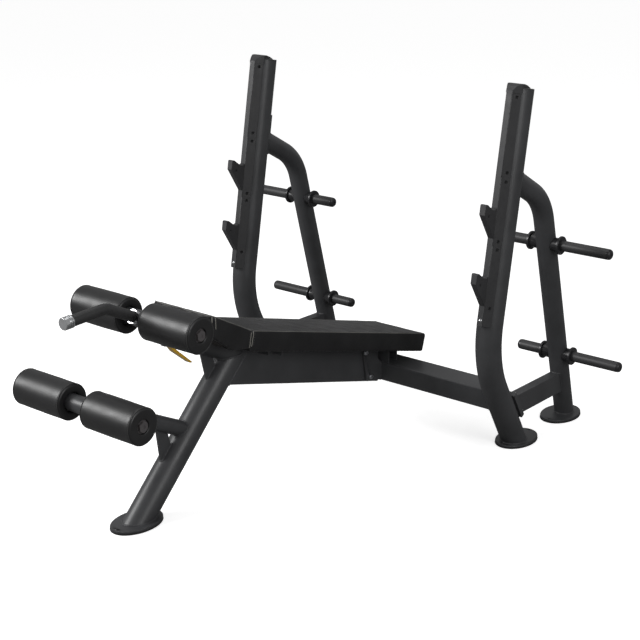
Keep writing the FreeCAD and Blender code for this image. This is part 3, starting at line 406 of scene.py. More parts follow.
def line_length(line, closed=False):
    ends = list(zip(line, line[1:])) + ([(line[-1], line[0])] if closed else [])
    return sum((b - a).length for a, b in ends)


def merge(shapes):
    """Several (points, faces) as one."""
    points, faces = [], []
    for more_points, more_faces in shapes:
        base = len(points)
        points += list(more_points)
        faces += [tuple(base + i for i in face) for face in more_faces]
    return points, faces


def lathe(profile, start, direction, segments=96, wobble=None):
    """Turns a profile of (distance, radius) about a line; wobble(angle, distance) adds to the radius."""
    start, direction = Vector(start), Vector(direction).normalized()
    side = direction.orthogonal().normalized()
    other = direction.cross(side)
    rings = []
    for distance, radius in profile:
        ring = []
        for k in range(segments):
            angle = 2 * math.pi * k / segments
            r = radius + (wobble(angle, distance) if wobble else 0.0)
            outward = side * math.cos(angle) + other * math.sin(angle)
            ring.append(start + direction * distance + outward * r)
        rings.append(ring)
    return rings


def node_mesh(name):
    """A CAD piece's points and triangles in the shared frame, with doubled points joined."""
    obj = NODES[name]
    shape = bmesh.new()
    shape.from_mesh(obj.data)
    shape.transform(obj.matrix_world)
    bmesh.ops.remove_doubles(shape, verts=shape.verts, dist=SAME_POINT)
    return shape


# ---------------------------------------------------------------- CAD pieces: finish and softened edges

SOFT_ANGLE = math.radians(32)      # only edges sharper than this are softened
EDGE_WIDTH = {
    "crossbeam": 0.0015, "spine_cheeks": 0.0014, "frame_plates": 0.0012, "foot_plates": 0.0018,
    "lower_gusset": 0.0010, "upper_gusset": 0.0010, "side_beams": 0.0020, "pad_brackets": 0.0008,
    "lower_hook_covers": 0.0010, "upper_hook_covers": 0.0010, "top_covers": 0.0010, "top_caps": 0.0012,
    "hook_plates": 0.0008, "lever_bracket": 0.0006, "release_lever": 0.0008, "frame_bolts": 0.0006,
    "spine_bolts": 0.0007, "set_bolts": 0.0004, "pad_bolts": 0.0005, "handle_end_cap": 0.0007,
    "handle_collar": 0.0008, "horn_collars": 0.0008, "upper_axle_caps": 0.0006, "lower_axle_caps": 0.0006,
}


def finish_cad():
    for name, obj in NODES.items():
        obj.data.materials.clear()
        obj.data.materials.append(CAP_GREY if name.endswith("axle_caps") else MATERIALS[SLOTS[name]])
        if name in EDGE_WIDTH:
            joined = obj.modifiers.new("joined", "WELD")
            joined.merge_threshold = SAME_POINT
            soft = obj.modifiers.new("edges", "BEVEL")
            soft.width = EDGE_WIDTH[name]
            soft.segments = 2
            soft.limit_method = "ANGLE"
            soft.angle_limit = SOFT_ANGLE
            soft.harden_normals = True


# ---------------------------------------------------------------- cushions

def pad_top(y):
    """Height of the cushions' upper side."""
    if y < PAD_BEND_Y:
        slope = (SEAM_TOP[1] - SEAT_FRONT[1]) / (SEAM_TOP[0] - SEAT_FRONT[0])
        return SEAT_FRONT[1] + slope * (y - SEAT_FRONT[0])
    return PAD_TOP_Z - PAD_FALL * y


def rounded_line(points, radius, steps=8):
    """A plan line of (x, y) points with its inner corners rounded."""
    out = [Vector(points[0])]
    for before, corner, after in zip(points, points[1:], points[2:]):
        before, corner, after = Vector(before), Vector(corner), Vector(after)
        a, b = (before - corner).normalized(), (after - corner).normalized()
        half = a.angle(b) / 2
        reach = radius / math.tan(half)
        centre = corner + (a + b).normalized() * (radius / math.sin(half))
        start, end = corner + a * reach - centre, corner + b * reach - centre
        for i in range(steps + 1):
            out.append(centre + start.lerp(end, i / steps).normalized() * radius)
    out.append(Vector(points[-1]))
    return out


def pad_shape(name, voxel, rounding):
    """An even, closed copy of a CAD cushion to work the upholstery from."""
    source = NODES[name]
    mesh = source.data.copy()
    mesh.transform(source.matrix_world)
    obj = bpy.data.objects.new(name + "_shape", mesh)
    bpy.context.scene.collection.objects.link(obj)
    even = obj.modifiers.new("even", "REMESH")
    even.mode = "VOXEL"
    even.voxel_size = voxel
    settle = obj.modifiers.new("settle", "SMOOTH")
    settle.factor = 0.5
    settle.iterations = rounding
    return bake(obj)


HEAD_ROUND = 0.025                 # how far the cushions' ends are rounded in side view
HEAD_UNDER_ROUND = 0.013
FRONT_ROUND = 0.014
HEAD_SWELL = 0.007                 # how far the filled head stands out, growing from this y
HEAD_SWELL_FROM = 0.600


def round_end(obj, corner, along, across, reach):
    """Rounds the edge at a (y, z) corner between two faces, along and across; returns what moved."""
    faces = np.array([along, across], dtype=float)
    faces /= np.linalg.norm(faces, axis=1, keepdims=True)
    points = coordinates(obj).copy()
    inside = (points[:, 1:] - corner) @ np.linalg.inv(faces)
    left = reach - inside
    far = np.hypot(left[:, 0], left[:, 1])
    moved = (left.min(axis=1) > 0) & (far > reach)
    inside[moved] = reach - left[moved] * (reach / far[moved])[:, None]
    points[moved, 1:] = corner + inside[moved] @ faces
    obj.data.vertices.foreach_set("co", points.reshape(-1))
    obj.data.update()
    return moved


def round_ends(name, obj):
    """The swollen, rounded head of the back cushion, or the seat's rounded front; returns what moved."""
    if name == "seat_pad":
        slope, front = np.subtract(SEAM_TOP, SEAT_FRONT), np.subtract(SEAT_FRONT_BOTTOM, SEAT_FRONT)
        return round_end(obj, SEAT_FRONT, slope, front, FRONT_ROUND)
    points = coordinates(obj).copy()
    share = np.clip((points[:, 1] - HEAD_SWELL_FROM) / (PAD_HEAD_Y - HEAD_SWELL_FROM), 0, 1) ** 2
    points[:, 1] += HEAD_SWELL * share
    points[:, 2] -= HEAD_SWELL * share * PAD_FALL
    obj.data.vertices.foreach_set("co", points.reshape(-1))
    back, down = np.array((-1.0, PAD_FALL)), np.array((-PAD_FALL, -1.0))
    top = np.array((PAD_HEAD_Y + HEAD_SWELL, pad_top(PAD_HEAD_Y + HEAD_SWELL)))
    under = top + down * PAD_T * math.cos(math.atan(PAD_FALL))
    upper = round_end(obj, top, back, down, HEAD_ROUND)
    return upper | round_end(obj, under, back, -down, HEAD_UNDER_ROUND)


def bake(obj):
    """Applies the modifiers."""
    bpy.context.view_layer.update()
    mesh = bpy.data.meshes.new_from_object(obj.evaluated_get(bpy.context.evaluated_depsgraph_get()))
    obj.modifiers.clear()
    obj.data = mesh
    return obj


def coordinates(obj):
    values = np.empty(len(obj.data.vertices) * 3)
    obj.data.vertices.foreach_get("co", values)
    return values.reshape(-1, 3)


SEAM_ANGLE = math.radians(35)      # edges sharper than this are seams
SEAM_STEP = 0.003


def sharp_points(name):
    """A search tree of points along the sharp edges of a CAD piece."""
    shape = node_mesh(name)
    points = []
    for edge in shape.edges:
        if len(edge.link_faces) == 2 and edge.calc_face_angle() > SEAM_ANGLE:
            a, b = edge.verts[0].co, edge.verts[1].co
            count = max(1, math.ceil((b - a).length / SEAM_STEP))
            points += [a.lerp(b, i / count) for i in range(count + 1)]
    shape.free()
    tree = KDTree(len(points))
    for i, p in enumerate(points):
        tree.insert(p, i)
    tree.balance()
    return tree


FRAMES = 20                        # of simulation
SIM_PRESSURE = 4.0
STRETCH_STIFFNESS = 30
BEND_STIFFNESS = 2.0
SIM_QUALITY = 4
MAX_PUFF = 0.006
PINNED_NEAR = 0.008                # held this near to a seam
UNDERSIDE = -0.5                   # a normal pointing lower than this belongs to the underside


def upholster(name, voxel, rounding):
    """The cushion: panels held along their seams and underside, puffed out by its filling."""
    obj = pad_shape(name, voxel, rounding)
    obj.name = name + "_cushion"
    rounded = round_ends(name, obj)
    rest = coordinates(obj).copy()
    seams = sharp_points(name)
    pins = obj.vertex_groups.new(name="held")
    for v in obj.data.vertices:
        near = seams.find(v.co)[2]
        if v.normal.z < UNDERSIDE or near < PINNED_NEAR or rounded[v.index]:
            pins.add([v.index], 1.0, "REPLACE")
    cloth = obj.modifiers.new("puff", "CLOTH")
    cloth.settings.vertex_group_mass = "held"
    cloth.settings.use_pressure = True
    cloth.settings.uniform_pressure_force = SIM_PRESSURE
    cloth.settings.tension_stiffness = STRETCH_STIFFNESS
    cloth.settings.compression_stiffness = STRETCH_STIFFNESS
    cloth.settings.bending_stiffness = BEND_STIFFNESS
    cloth.settings.quality = SIM_QUALITY
    cloth.settings.effector_weights.gravity = 0.0
    cloth.point_cache.frame_start = 1
    cloth.point_cache.frame_end = FRAMES
    for step in range(1, FRAMES + 1):
        bpy.context.scene.frame_set(step)
    bake(obj)
    bpy.context.scene.frame_set(1)
    moved = coordinates(obj) - rest
    size = np.linalg.norm(moved, axis=1, keepdims=True)
    capped = moved * np.minimum(1.0, MAX_PUFF / np.maximum(size, 1e-9))
    gather(obj, rest + capped)
    finer = obj.modifiers.new("finer", "SUBSURF")
    finer.levels = finer.render_levels = 1
    bake(obj)
    obj.data.polygons.foreach_set("use_smooth", [True] * len(obj.data.polygons))
    obj.data.materials.clear()
    obj.data.materials.append(MATERIALS["pad_leather"])
    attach(obj, "frame")
    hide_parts(name)
    return obj


GATHERS = (  # (y, z) where the cover is drawn in, its reach and the depth of the folds
    (SEAM_TOP, 0.040, 0.0011),
    (SEAM_BOTTOM, 0.030, 0.0008),
    (SEAT_FRONT, 0.038, 0.0012),
    ((PAD_HEAD_Y, 0.300), 0.030, 0.0005),
)
FOLD_COUNT = 9.0                   # folds in a full turn about a gathered corner
FOLD_EASE = 0.008                  # the folds start this far from the corner
UNEVEN = 0.0007                    # broad unevenness of the cover


def gather(obj, points):
    """Small folds fanning out of the corners on the cushions' sides."""
    normals = np.empty(len(obj.data.vertices) * 3)
    obj.data.vertices.foreach_get("normal", normals)
    normals = normals.reshape(-1, 3)
    out = points.copy()
    for i, (p, n) in enumerate(zip(points, normals)):
        if n[2] < UNDERSIDE:
            continue
        shift = 0.0
        for (y, z), reach, depth in GATHERS:
            far = math.hypot(p[1] - y, p[2] - z)
            if far < reach:
                angle = math.atan2(p[2] - z, p[1] - y)
                fade = (1 - far / reach) * min(1.0, far / FOLD_EASE)
                sway = noise.noise(Vector(p) * 40.0) * 3.0
                shift += depth * fade * math.sin(angle * FOLD_COUNT + sway)
        drift = noise.noise(Vector(p) * 14.0) * UNEVEN
        out[i] = p + n * (shift + drift)
    obj.data.vertices.foreach_set("co", out.reshape(-1))
    obj.data.update()


def skin_of(obj):
    """Something to cast rays at."""
    mesh = obj.data
    corners = [v.co.copy() for v in mesh.vertices]
    return BVHTree.FromPolygons(corners, [tuple(face.vertices) for face in mesh.polygons])


LOOK_FROM = 0.03                   # where rays at a cushion start, outside it
THREAD_R = 0.00048
STITCH_PITCH = 0.0078
STITCH_ENDS = (0.16, 0.84)         # a stitch's share of its pitch
STITCH_SUNK, STITCH_SHOULDER, STITCH_CROWN = -0.0004, 0.00045, 0.0007
CORD_STEP = 0.004
CORD_PULL = 0.00012                # the cord's swelling between the stitches that hold it
CORD_PITCH = 0.0075


def rest_on(tree, point, inwards, lift=0.0):
    """The point on a cushion's surface reached by looking inwards from outside."""
    inwards = Vector(inwards).normalized()
    hit = tree.ray_cast(Vector(point) - inwards * LOOK_FROM, inwards)[0]
    if hit is None:
        return Vector(point)
    return hit - inwards * lift


def stitches(name, line, tree, inwards):
    """A row of thread stitches lying on a cushion along a line."""
    shapes = []
    outwards = -Vector(inwards).normalized()
    rise = ((0.0, STITCH_SUNK), (0.12, STITCH_SHOULDER), (0.5, STITCH_CROWN), (0.88, STITCH_SHOULDER),
            (1.0, STITCH_SUNK))
    spots = resample(line, STITCH_PITCH)
    for a, b in zip(spots, spots[1:]):
        start, end = (rest_on(tree, a.lerp(b, share), inwards) for share in STITCH_ENDS)
        path = [start.lerp(end, share) + outwards * height for share, height in rise]
        shapes.append(sweep(path, THREAD_R, sides=6))
    return add_mesh(name, *merge(shapes), THREAD, "frame", None)


def piping(name, line, radius, mat):
    """Welted edge: a round cord under its cover, with the pull of its stitching."""
    path = resample(line, CORD_STEP)
    shape = sweep(path, lambda s: radius + CORD_PULL * math.sin(s * 2 * math.pi / CORD_PITCH), sides=10)
    return add_mesh(name, *shape, mat, "frame", "pad_leather")


def rim_line(plan, skin):
    """A plan line laid on a cushion's rounded top edge."""
    line = []
    for spot in resample([Vector((x, y, 0)) for x, y in plan], CORD_STEP):
        place, normal, _, _ = skin.find_nearest(Vector((spot.x, spot.y, pad_top(spot.y))))
        line.append(place + normal * RIM_LIFT)
    for _ in range(RIM_SMOOTHING):
        line[1:-1] = [(a + b * 2 + c) / 4 for a, b, c in zip(line, line[1:], line[2:])]
    return line


BACK_VOXEL, BACK_SETTLE = 0.0055, 6
SEAT_VOXEL, SEAT_SETTLE = 0.0045, 5
RIM_R = 0.0017                     # the welt round the top edge
RIM_LIFT = 0.0008
RIM_SMOOTHING = 6
RIM_GAP = 0.004                    # the welts stop this far from the fold
RIM_ON_HEAD = 0.3                  # where the welt runs on the rounded head
WELT_SUNK = 0.0002
FOLD_WELT_R = 0.0015
FOLD_WELT_OFFSET = 0.0070
CORNER_WELT_R = 0.0013
CORNER_WELTS = ((32.0, "outer"), (58.0, "inner"))  # degrees round the seat's front corner
CROSSING_OFFSET = 0.009
CROSSING_INSET = 0.008
WELT_PARTS = 12
CORNER_WELT_PARTS = 8              # the corner's welts stop part of the way down


def cushions():
    back = upholster("back_pad", BACK_VOXEL, BACK_SETTLE)
    seat = upholster("seat_pad", SEAT_VOXEL, SEAT_SETTLE)
    back_skin, seat_skin = skin_of(back), skin_of(seat)
    seam_y = SEAM_TOP[0]
    head = PAD_HEAD_Y + HEAD_SWELL - HEAD_ROUND * RIM_ON_HEAD
    plan = [(PAD_HALF_W, seam_y + RIM_GAP), (PAD_HALF_W, head), (-PAD_HALF_W, head),
            (-PAD_HALF_W, seam_y + RIM_GAP)]
    # Both top-edge welts take the pale welt leather, a painted highlight along the edge.
    piping("back_piping", rim_line(rounded_line(plan, HEAD_CORNER_R), back_skin), RIM_R, PAINTED_HIGHLIGHT_WELT)
    plan = [(PAD_HALF_W, seam_y - RIM_GAP), (SEAT_HALF_W, SEAT_FRONT[0]), (-SEAT_HALF_W, SEAT_FRONT[0]),
            (-PAD_HALF_W, seam_y - RIM_GAP)]
    piping("seat_piping", rim_line(rounded_line(plan, SEAT_CORNER_R), seat_skin), RIM_R, PAINTED_HIGHLIGHT_WELT)
    for side, word in ((-1, "left"), (1, "right")):
        fold_seams(word, side, back_skin, seat_skin)
        corner_seam(word, side, seat_skin)
    crossing_seams(back_skin, seat_skin)


def fold_seams(word, side, back_skin, seat_skin):
    """The upright welts where the two cushions meet at their sides, each with its row of stitches."""
    top, bottom = Vector((side * PAD_HALF_W, *SEAM_TOP)), Vector((side * PAD_HALF_W, *SEAM_BOTTOM))
    inwards = (-side, 0, 0)
    for skin, way, tag in ((back_skin, 1, "back"), (seat_skin, -1, "seat")):
        shift = Vector((0, way * FOLD_WELT_OFFSET, 0))
        spots = [top.lerp(bottom, i / WELT_PARTS) + shift for i in range(1, WELT_PARTS)]
        line = [rest_on(skin, spot, inwards, WELT_SUNK) for spot in spots]
        # The fold welts take the pale cord, a painted highlight.
        piping(f"{tag}_{word}_fold_welt", line, FOLD_WELT_R, PAINTED_HIGHLIGHT_CORD)
        line = [top.lerp(bottom, share) + shift * 2.0 for share in (0.1, 0.9)]
        stitches(f"{tag}_{word}_fold_stitches", line, skin, inwards)


def corner_seam(word, side, seat_skin):
    """Two welts down the seat's rounded front corner."""
    for turn, tag in CORNER_WELTS:
        angle = math.radians(turn)
        middle = Vector((side * (SEAT_HALF_W - SEAT_CORNER_R), SEAT_FRONT[0] + SEAT_CORNER_R))
        outward = Vector((side * math.cos(angle), -math.sin(angle), 0))
        line = []
        for i in range(1, CORNER_WELT_PARTS):
            base = Vector(SEAT_FRONT).lerp(Vector(SEAT_FRONT_BOTTOM), i / WELT_PARTS)
            z = base[1] - (SEAT_CORNER_R * (1 - math.sin(angle))) * 0.5
            spot = Vector((middle[0], middle[1], z)) + outward * SEAT_CORNER_R
            line.append(rest_on(seat_skin, spot, -outward, WELT_SUNK))
        # The corner welts take the pale cord, a painted highlight.
        piping(f"seat_{word}_{tag}_corner_welt", line, CORNER_WELT_R, PAINTED_HIGHLIGHT_CORD)


def crossing_seams(back_skin, seat_skin):
    """Stitches across the top beside the fold."""
    reach = PAD_HALF_W - CROSSING_INSET
    for skin, way, tag in ((back_skin, 1, "back"), (seat_skin, -1, "seat")):
        y = SEAM_TOP[0] + way * CROSSING_OFFSET
        line = [(-reach, y, pad_top(y)), (reach, y, pad_top(y))]
        stitches(f"{tag}_top_stitches", line, skin, (0, -0.4, -1))


# ---------------------------------------------------------------- rollers

FOAM_LENGTH = ROLLER_FAR - ROLLER_NEAR
FOAM_R = ROLLER_R - 0.0003
FOAM_BORE_R = 0.0305
FOAM_FILLET = 0.0105
FOAM_STEPS = 22
CROWN = 0.0007                     # how much fatter the middle is than the ends
END_FACE = 0.0002                  # the end faces stand this far inside the roller's ends
END_FACE_R = 0.046
END_DROP = 0.0006                  # the step between the rounded end and the body
END_STEP = 0.003
CAP_WELL_R = 0.0232                # the hollow round an axle cap
DENTS = 0.00035                    # depth of the skin's slight dents
DENTS_FROM = 0.012                 # and how far they keep from the ends
ROLLER_WELT_R = 0.0011
ROLLER_WELT_AT = 0.0052            # from each end
ROLLER_WELT_SUNK = 0.0013


def foam_profile():
    """(distance, radius) from the bore's near lip, over the skin, to the hollow round the cap."""
    bore, length, fillet = FOAM_BORE_R, FOAM_LENGTH, FOAM_FILLET
    near = [(0.0088, bore), (0.0044, bore + 0.0006), (0.0016, bore + 0.0022), (0.0004, bore + 0.0060)]
    end = [(END_FACE, END_FACE_R), (END_FACE, FOAM_R - fillet - 0.001)]
    for degrees in range(10, 91, 16):
        turn = math.radians(degrees)
        end.append((fillet * (1 - math.cos(turn)), FOAM_R - fillet * (1 - math.sin(turn)) - END_DROP))
    skin = []
    for i in range(FOAM_STEPS + 1):
        share = i / FOAM_STEPS
        distance = fillet + END_STEP + (length - 2 * (fillet + END_STEP)) * share
        skin.append((distance, FOAM_R - CROWN + CROWN * math.sin(math.pi * share)))
    well = [(0.0004, CAP_WELL_R + 0.0040), (0.0014, CAP_WELL_R + 0.0008), (0.0040, CAP_WELL_R),
            (0.0092, CAP_WELL_R), (0.0096, bore)]
    return near + end + skin + [(length - d, r) for d, r in end[::-1] + well]


def roller(name, axis, side, body):
    """A foam roller: skinned, slightly crowned, with a welt near each end and a recessed middle."""
    own = Vector((side * 3.0, axis[0] * 7.0, 0))

    def wobble(angle, distance):
        if not DENTS_FROM < distance < FOAM_LENGTH - DENTS_FROM:
            return 0.0
        spot = Vector((math.cos(angle) * 1.6, math.sin(angle) * 1.6, distance * 22.0))
        return DENTS * noise.noise(spot + own)

    start = Vector((side * ROLLER_NEAR, *axis))
    rings = lathe(foam_profile(), start, (side, 0, 0), wobble=wobble)
    shape = rings_to_mesh(rings, True)
    foam = add_mesh(name + "_foam", *shape, MATERIALS["roller_skin"], body, "roller_skin")
    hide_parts(name)
    welts = []
    for distance in (ROLLER_WELT_AT, FOAM_LENGTH - ROLLER_WELT_AT):
        ring = lathe([(distance, FOAM_R - ROLLER_WELT_SUNK)], start, (side, 0, 0), 120)[0]
        welts.append(sweep(ring, ROLLER_WELT_R, closed=True, sides=8))
    # The welts take the pale welt skin, a painted highlight at the roller's ends.
    add_mesh(name + "_welts", *merge(welts), PAINTED_HIGHLIGHT_ROLLER_WELT, body, "roller_skin")


def rollers():
    for level, axis in (("lower", LOWER_AXIS), ("upper", UPPER_AXIS)):
        for side, word in ((-1, "left"), (1, "right")):
            name = f"{level}_{word}_roller"
            roller(name, axis, side, name)


# ---------------------------------------------------------------- grab handle grip, foot rubbers, spring

def bent_line(start, kink, end, bend_r, steps=14):
    """Straight, arc, straight."""
    start, kink, end = Vector(start), Vector(kink), Vector(end)
    a, b = (start - kink).normalized(), (end - kink).normalized()
    half = a.angle(b) / 2
    centre = kink + (a + b).normalized() * (bend_r / math.sin(half))
    reach = bend_r / math.tan(half)
    first, last = kink + a * reach - centre, kink + b * reach - centre
    bend = [centre + first.lerp(last, i / steps).normalized() * bend_r for i in range(steps + 1)]
    return [start, *bend, end]


HANDLE_SLOPE = math.radians(25.6)  # of the handle's root
TIP_SLOPE = math.radians(2.5)
GRIP_R = 0.0190
GRIP_START, GRIP_KINK = 0.0384, 0.158  # along the root from the roller axis
GRIP_TIP_LENGTH = 0.1415
HANDLE_BEND_R = 0.060
GRIP_STEP = 0.0018
GRIP_LIPS = ((0.0018, -0.0010), (0.0060, 0.0002), (0.0085, -0.0012))  # (from an end, added radius)
GRIP_BODY, RING_DEPTH, RING_PITCH = -0.0004, 0.00018, 0.0120


def grip():
    """Rubber sleeve on the grab handle, with a rolled lip at each end and shallow finger rings."""
    origin = Vector((0, *UPPER_AXIS))
    down = Vector((0, math.cos(HANDLE_SLOPE), -math.sin(HANDLE_SLOPE)))
    start, kink = origin - down * GRIP_START, origin - down * GRIP_KINK
    end = kink + Vector((0, -math.cos(TIP_SLOPE), -math.sin(TIP_SLOPE))) * GRIP_TIP_LENGTH
    line = resample(bent_line(start, kink, end, HANDLE_BEND_R), GRIP_STEP)
    total = line_length(line)

    def radius(gone):
        edge = min(gone, total - gone)
        for reach, more in GRIP_LIPS:
            if edge < reach:
                return GRIP_R + more
        return GRIP_R + GRIP_BODY + RING_DEPTH * math.sin(gone * 2 * math.pi / RING_PITCH)

    sleeve = sweep(line, radius, sides=40)
    obj = add_mesh("handle_grip_sleeve", *sleeve, MATERIALS["grip_rubber"], "carriage", "grip_rubber")
    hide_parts("handle_grip")


SOLE_SIDES = 96
SOLE_UNDER = ((-0.010, 0.0), (-0.0016, 0.0), (-0.0004, 0.0006))  # (beyond the plate's outline, height)
SOLE_EDGE = ((0.0002, 0.35), (0.0, 0.6), (-0.0009, 0.72), (-0.0003, 0.84), (-0.0008, 0.97),
             (-0.010, 0.995))      # (beyond the outline, share of the pad's height)


def islands(shape):
    """The separate pieces of a mesh, as lists of vertices."""
    shape.verts.index_update()
    left = {v.index: v for v in shape.verts}
    found = []
    while left:
        stack, group = [left.pop(min(left))], []
        while stack:
            v = stack.pop()
            group.append(v)
            for edge in v.link_edges:
                other = edge.other_vert(v)
                if other.index in left:
                    stack.append(left.pop(other.index))
        found.append(group)
    return found


def foot_rubbers():
    """Rubber soles: a bulging edge, a groove and a lip that stands a little proud of the plates."""
    turns = [2 * math.pi * k / SOLE_SIDES for k in range(SOLE_SIDES)]
    pads = node_mesh("foot_pads")
    soles = []
    for group in islands(pads):
        low = [min(v.co[i] for v in group) for i in range(3)]
        high = [max(v.co[i] for v in group) for i in range(3)]
        x, y = (low[0] + high[0]) / 2, (low[1] + high[1]) / 2
        half_x, half_y, top = (high[0] - low[0]) / 2, (high[1] - low[1]) / 2, high[2]
        profile = [*SOLE_UNDER, *((out, top * share) for out, share in SOLE_EDGE)]
        rings = [[Vector((x + (half_x + out) * math.cos(turn), y + (half_y + out) * math.sin(turn), z))
                  for turn in turns] for out, z in profile]
        soles.append(rings_to_mesh(rings, False))
    pads.free()
    obj = add_mesh("foot_soles", *merge(soles), MATERIALS["foot_rubber"], "frame", "foot_rubber")
    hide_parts("foot_pads")


CARRIER_SLOPE = math.radians(27.3)
SPRING_ALONG = 0.140               # down the slope from the roller axis
SPRING_TOP, SPRING_BOTTOM = -0.0390, -0.0461
SPRING_R = 0.0063
SPRING_WIRE_R = 0.0006
SPRING_TURNS = 4
STEPS_PER_TURN = 26


def coil():
    """The plunger's spring."""
    across = Vector((1, 0, 0))
    along = Vector((0, math.cos(CARRIER_SLOPE), -math.sin(CARRIER_SLOPE)))
    up = Vector((0, math.sin(CARRIER_SLOPE), math.cos(CARRIER_SLOPE)))
    place = Vector((0, *UPPER_AXIS)) + along * SPRING_ALONG
    steps = STEPS_PER_TURN * SPRING_TURNS
    line = []
    for i in range(steps + 1):
        angle = 2 * math.pi * SPRING_TURNS * i / steps
        height = SPRING_TOP + (SPRING_BOTTOM - SPRING_TOP) * i / steps
        outward = across * math.cos(angle) + along * math.sin(angle)
        line.append(place + up * height + outward * SPRING_R)
    wire = sweep(line, SPRING_WIRE_R, sides=8)
    obj = add_mesh("plunger_coil", *wire, MATERIALS["spring_steel"], "frame", "spring_steel")
    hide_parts("plunger_spring")
    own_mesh(obj)


# ---------------------------------------------------------------- weld beads

WELD_ANGLE = math.radians(22)      # beads run along edges sharper than this
WELD_REACH = 0.0011                # that lie this near to the neighbour
SHORTEST_WELD = 0.018
BEAD_STEP = 0.0028
RIPPLE, RIPPLE_PITCH = 0.10, 0.0085
PHASE_PER_METRE = 90.0             # so that no two beads ripple alike
WELDS = (                          # piece, its neighbours, bead radius, body
    ("plate_horns", ("left_rear_leg", "right_rear_leg"), 0.0024, "frame"),
    ("left_upright", ("foot_plates",), 0.0034, "frame"),
    ("right_upright", ("foot_plates",), 0.0034, "frame"),
    ("left_rear_leg", ("foot_plates", "left_upright", "frame_plates"), 0.0032, "frame"),
    ("right_rear_leg", ("foot_plates", "right_upright", "frame_plates"), 0.0032, "frame"),
    ("front_post", ("foot_plates",), 0.0034, "frame"),
    ("crossbeam", ("left_upright", "right_upright"), 0.0030, "frame"),
    ("spine_beam", ("front_post",), 0.0030, "frame"),
    ("spine_cheeks", ("crossbeam",), 0.0026, "frame"),
    ("upper_sleeve", ("front_post",), 0.0032, "frame"),
    ("lower_stub", ("front_post", "lower_cross_tube"), 0.0028, "frame"),
    ("lower_gusset", ("front_post", "lower_stub"), 0.0024, "frame"),
    ("upper_gusset", ("front_post", "upper_sleeve"), 0.0024, "frame"),
    ("side_beams", ("left_rear_leg", "right_rear_leg", "frame_plates"), 0.0026, "frame"),
    ("frame_plates", ("left_upright", "right_upright"), 0.0022, "frame"),
    ("slide_tube", ("upper_cross_tube",), 0.0024, "carriage"),
    ("pad_brackets", ("spine_beam", "crossbeam"), 0.0020, "frame"),
    ("lever_bracket", ("upper_sleeve",), 0.0012, "frame"),
)


def contact_lines(name, others):
    """Lines where a CAD piece's own edges lie on its neighbours."""
    trees = []
    for other in others:
        shape = node_mesh(other)
        trees.append(BVHTree.FromBMesh(shape))
        shape.free()
    shape = node_mesh(name)
    joined = {}
    points = {v.index: v.co.copy() for v in shape.verts}
    for edge in shape.edges:
        if len(edge.link_faces) != 2 or edge.calc_face_angle() < WELD_ANGLE:
            continue
        ends = [v.co for v in edge.verts]
        probes = ends + [(ends[0] + ends[1]) / 2]
        for tree in trees:
            if all(tree.find_nearest(p, WELD_REACH)[0] is not None for p in probes):
                a, b = (v.index for v in edge.verts)
                joined.setdefault(a, set()).add(b)
                joined.setdefault(b, set()).add(a)
                break
    shape.free()
    lines = []
    while joined:
        start = next((v for v in sorted(joined) if len(joined[v]) == 1), min(joined))
        line = [start]
        while joined.get(line[-1]):
            here = line[-1]
            there = best_next(points, line, joined[here])
            joined[here].discard(there)
            joined[there].discard(here)
            line.append(there)
            if there == start:
                break
        joined = {v: n for v, n in joined.items() if n}
        closed = line[0] == line[-1] and len(line) > 3
        lines.append(([points[i] for i in (line[:-1] if closed else line)], closed))
    return lines


def best_next(points, line, choices):
    """Goes straight on where lines cross."""
    if len(line) < 2 or len(choices) == 1:
        return min(choices)
    ahead = (points[line[-1]] - points[line[-2]]).normalized()
    return max(sorted(choices), key=lambda c: (points[c] - points[line[-1]]).normalized().dot(ahead))


def weld_beads():
    for name, others, radius, body in WELDS:
        shapes = []
        for line, closed in contact_lines(name, others):
            if line_length(line, closed) < SHORTEST_WELD:
                continue
            path = resample(line, BEAD_STEP, closed)
            phase = line[0].x * PHASE_PER_METRE

            def ripple(gone):
                return radius * (1.0 + RIPPLE * math.sin(gone * 2 * math.pi / RIPPLE_PITCH + phase))

            shapes.append(sweep(path, ripple, closed, 8))
        if shapes:
            add_mesh(name + "_welds", *merge(shapes), MATERIALS["charcoal_coat"], body, "charcoal_coat")


# ---------------------------------------------------------------- floor, light, camera

DIM = 0.44                         # light from the camera's side
BRIGHT = 0.40                      # light from above and behind
FLOOR_BOUNCE = 0.22                # how pale the floor is as a reflector
FLOOR_GLOW = 0.66                  # what is added for the eye, so that only shadows darken it
FLOOR_HALF = 30.0
FLOOR_Z = -0.0005
BRIGHT_SIDE = (-0.42, 0.52, 0.74)
FADE = (-0.35, 0.75)               # from dim to bright, as the cosine to the bright side
LIGHTS = (                         # name, place, target, size, power
    ("key", (-3.1, -3.6, 3.1), (0, -0.4, 0.5), (2.1, 2.1), 190),
    ("top", (-0.6, 0.4, 4.6), (0, 0, 0.4), (2.6, 2.6), 25),
    ("side", (4.4, -1.2, 2.6), (0, 0.2, 0.6), (1.6, 2.4), 60),
)
CAMERA_PLACE = (3.1597, -3.6496, 2.0876)
CAMERA_TARGET = (0, 0.1657, 0.4728)
LENS, SENSOR = 78.7, 36.0


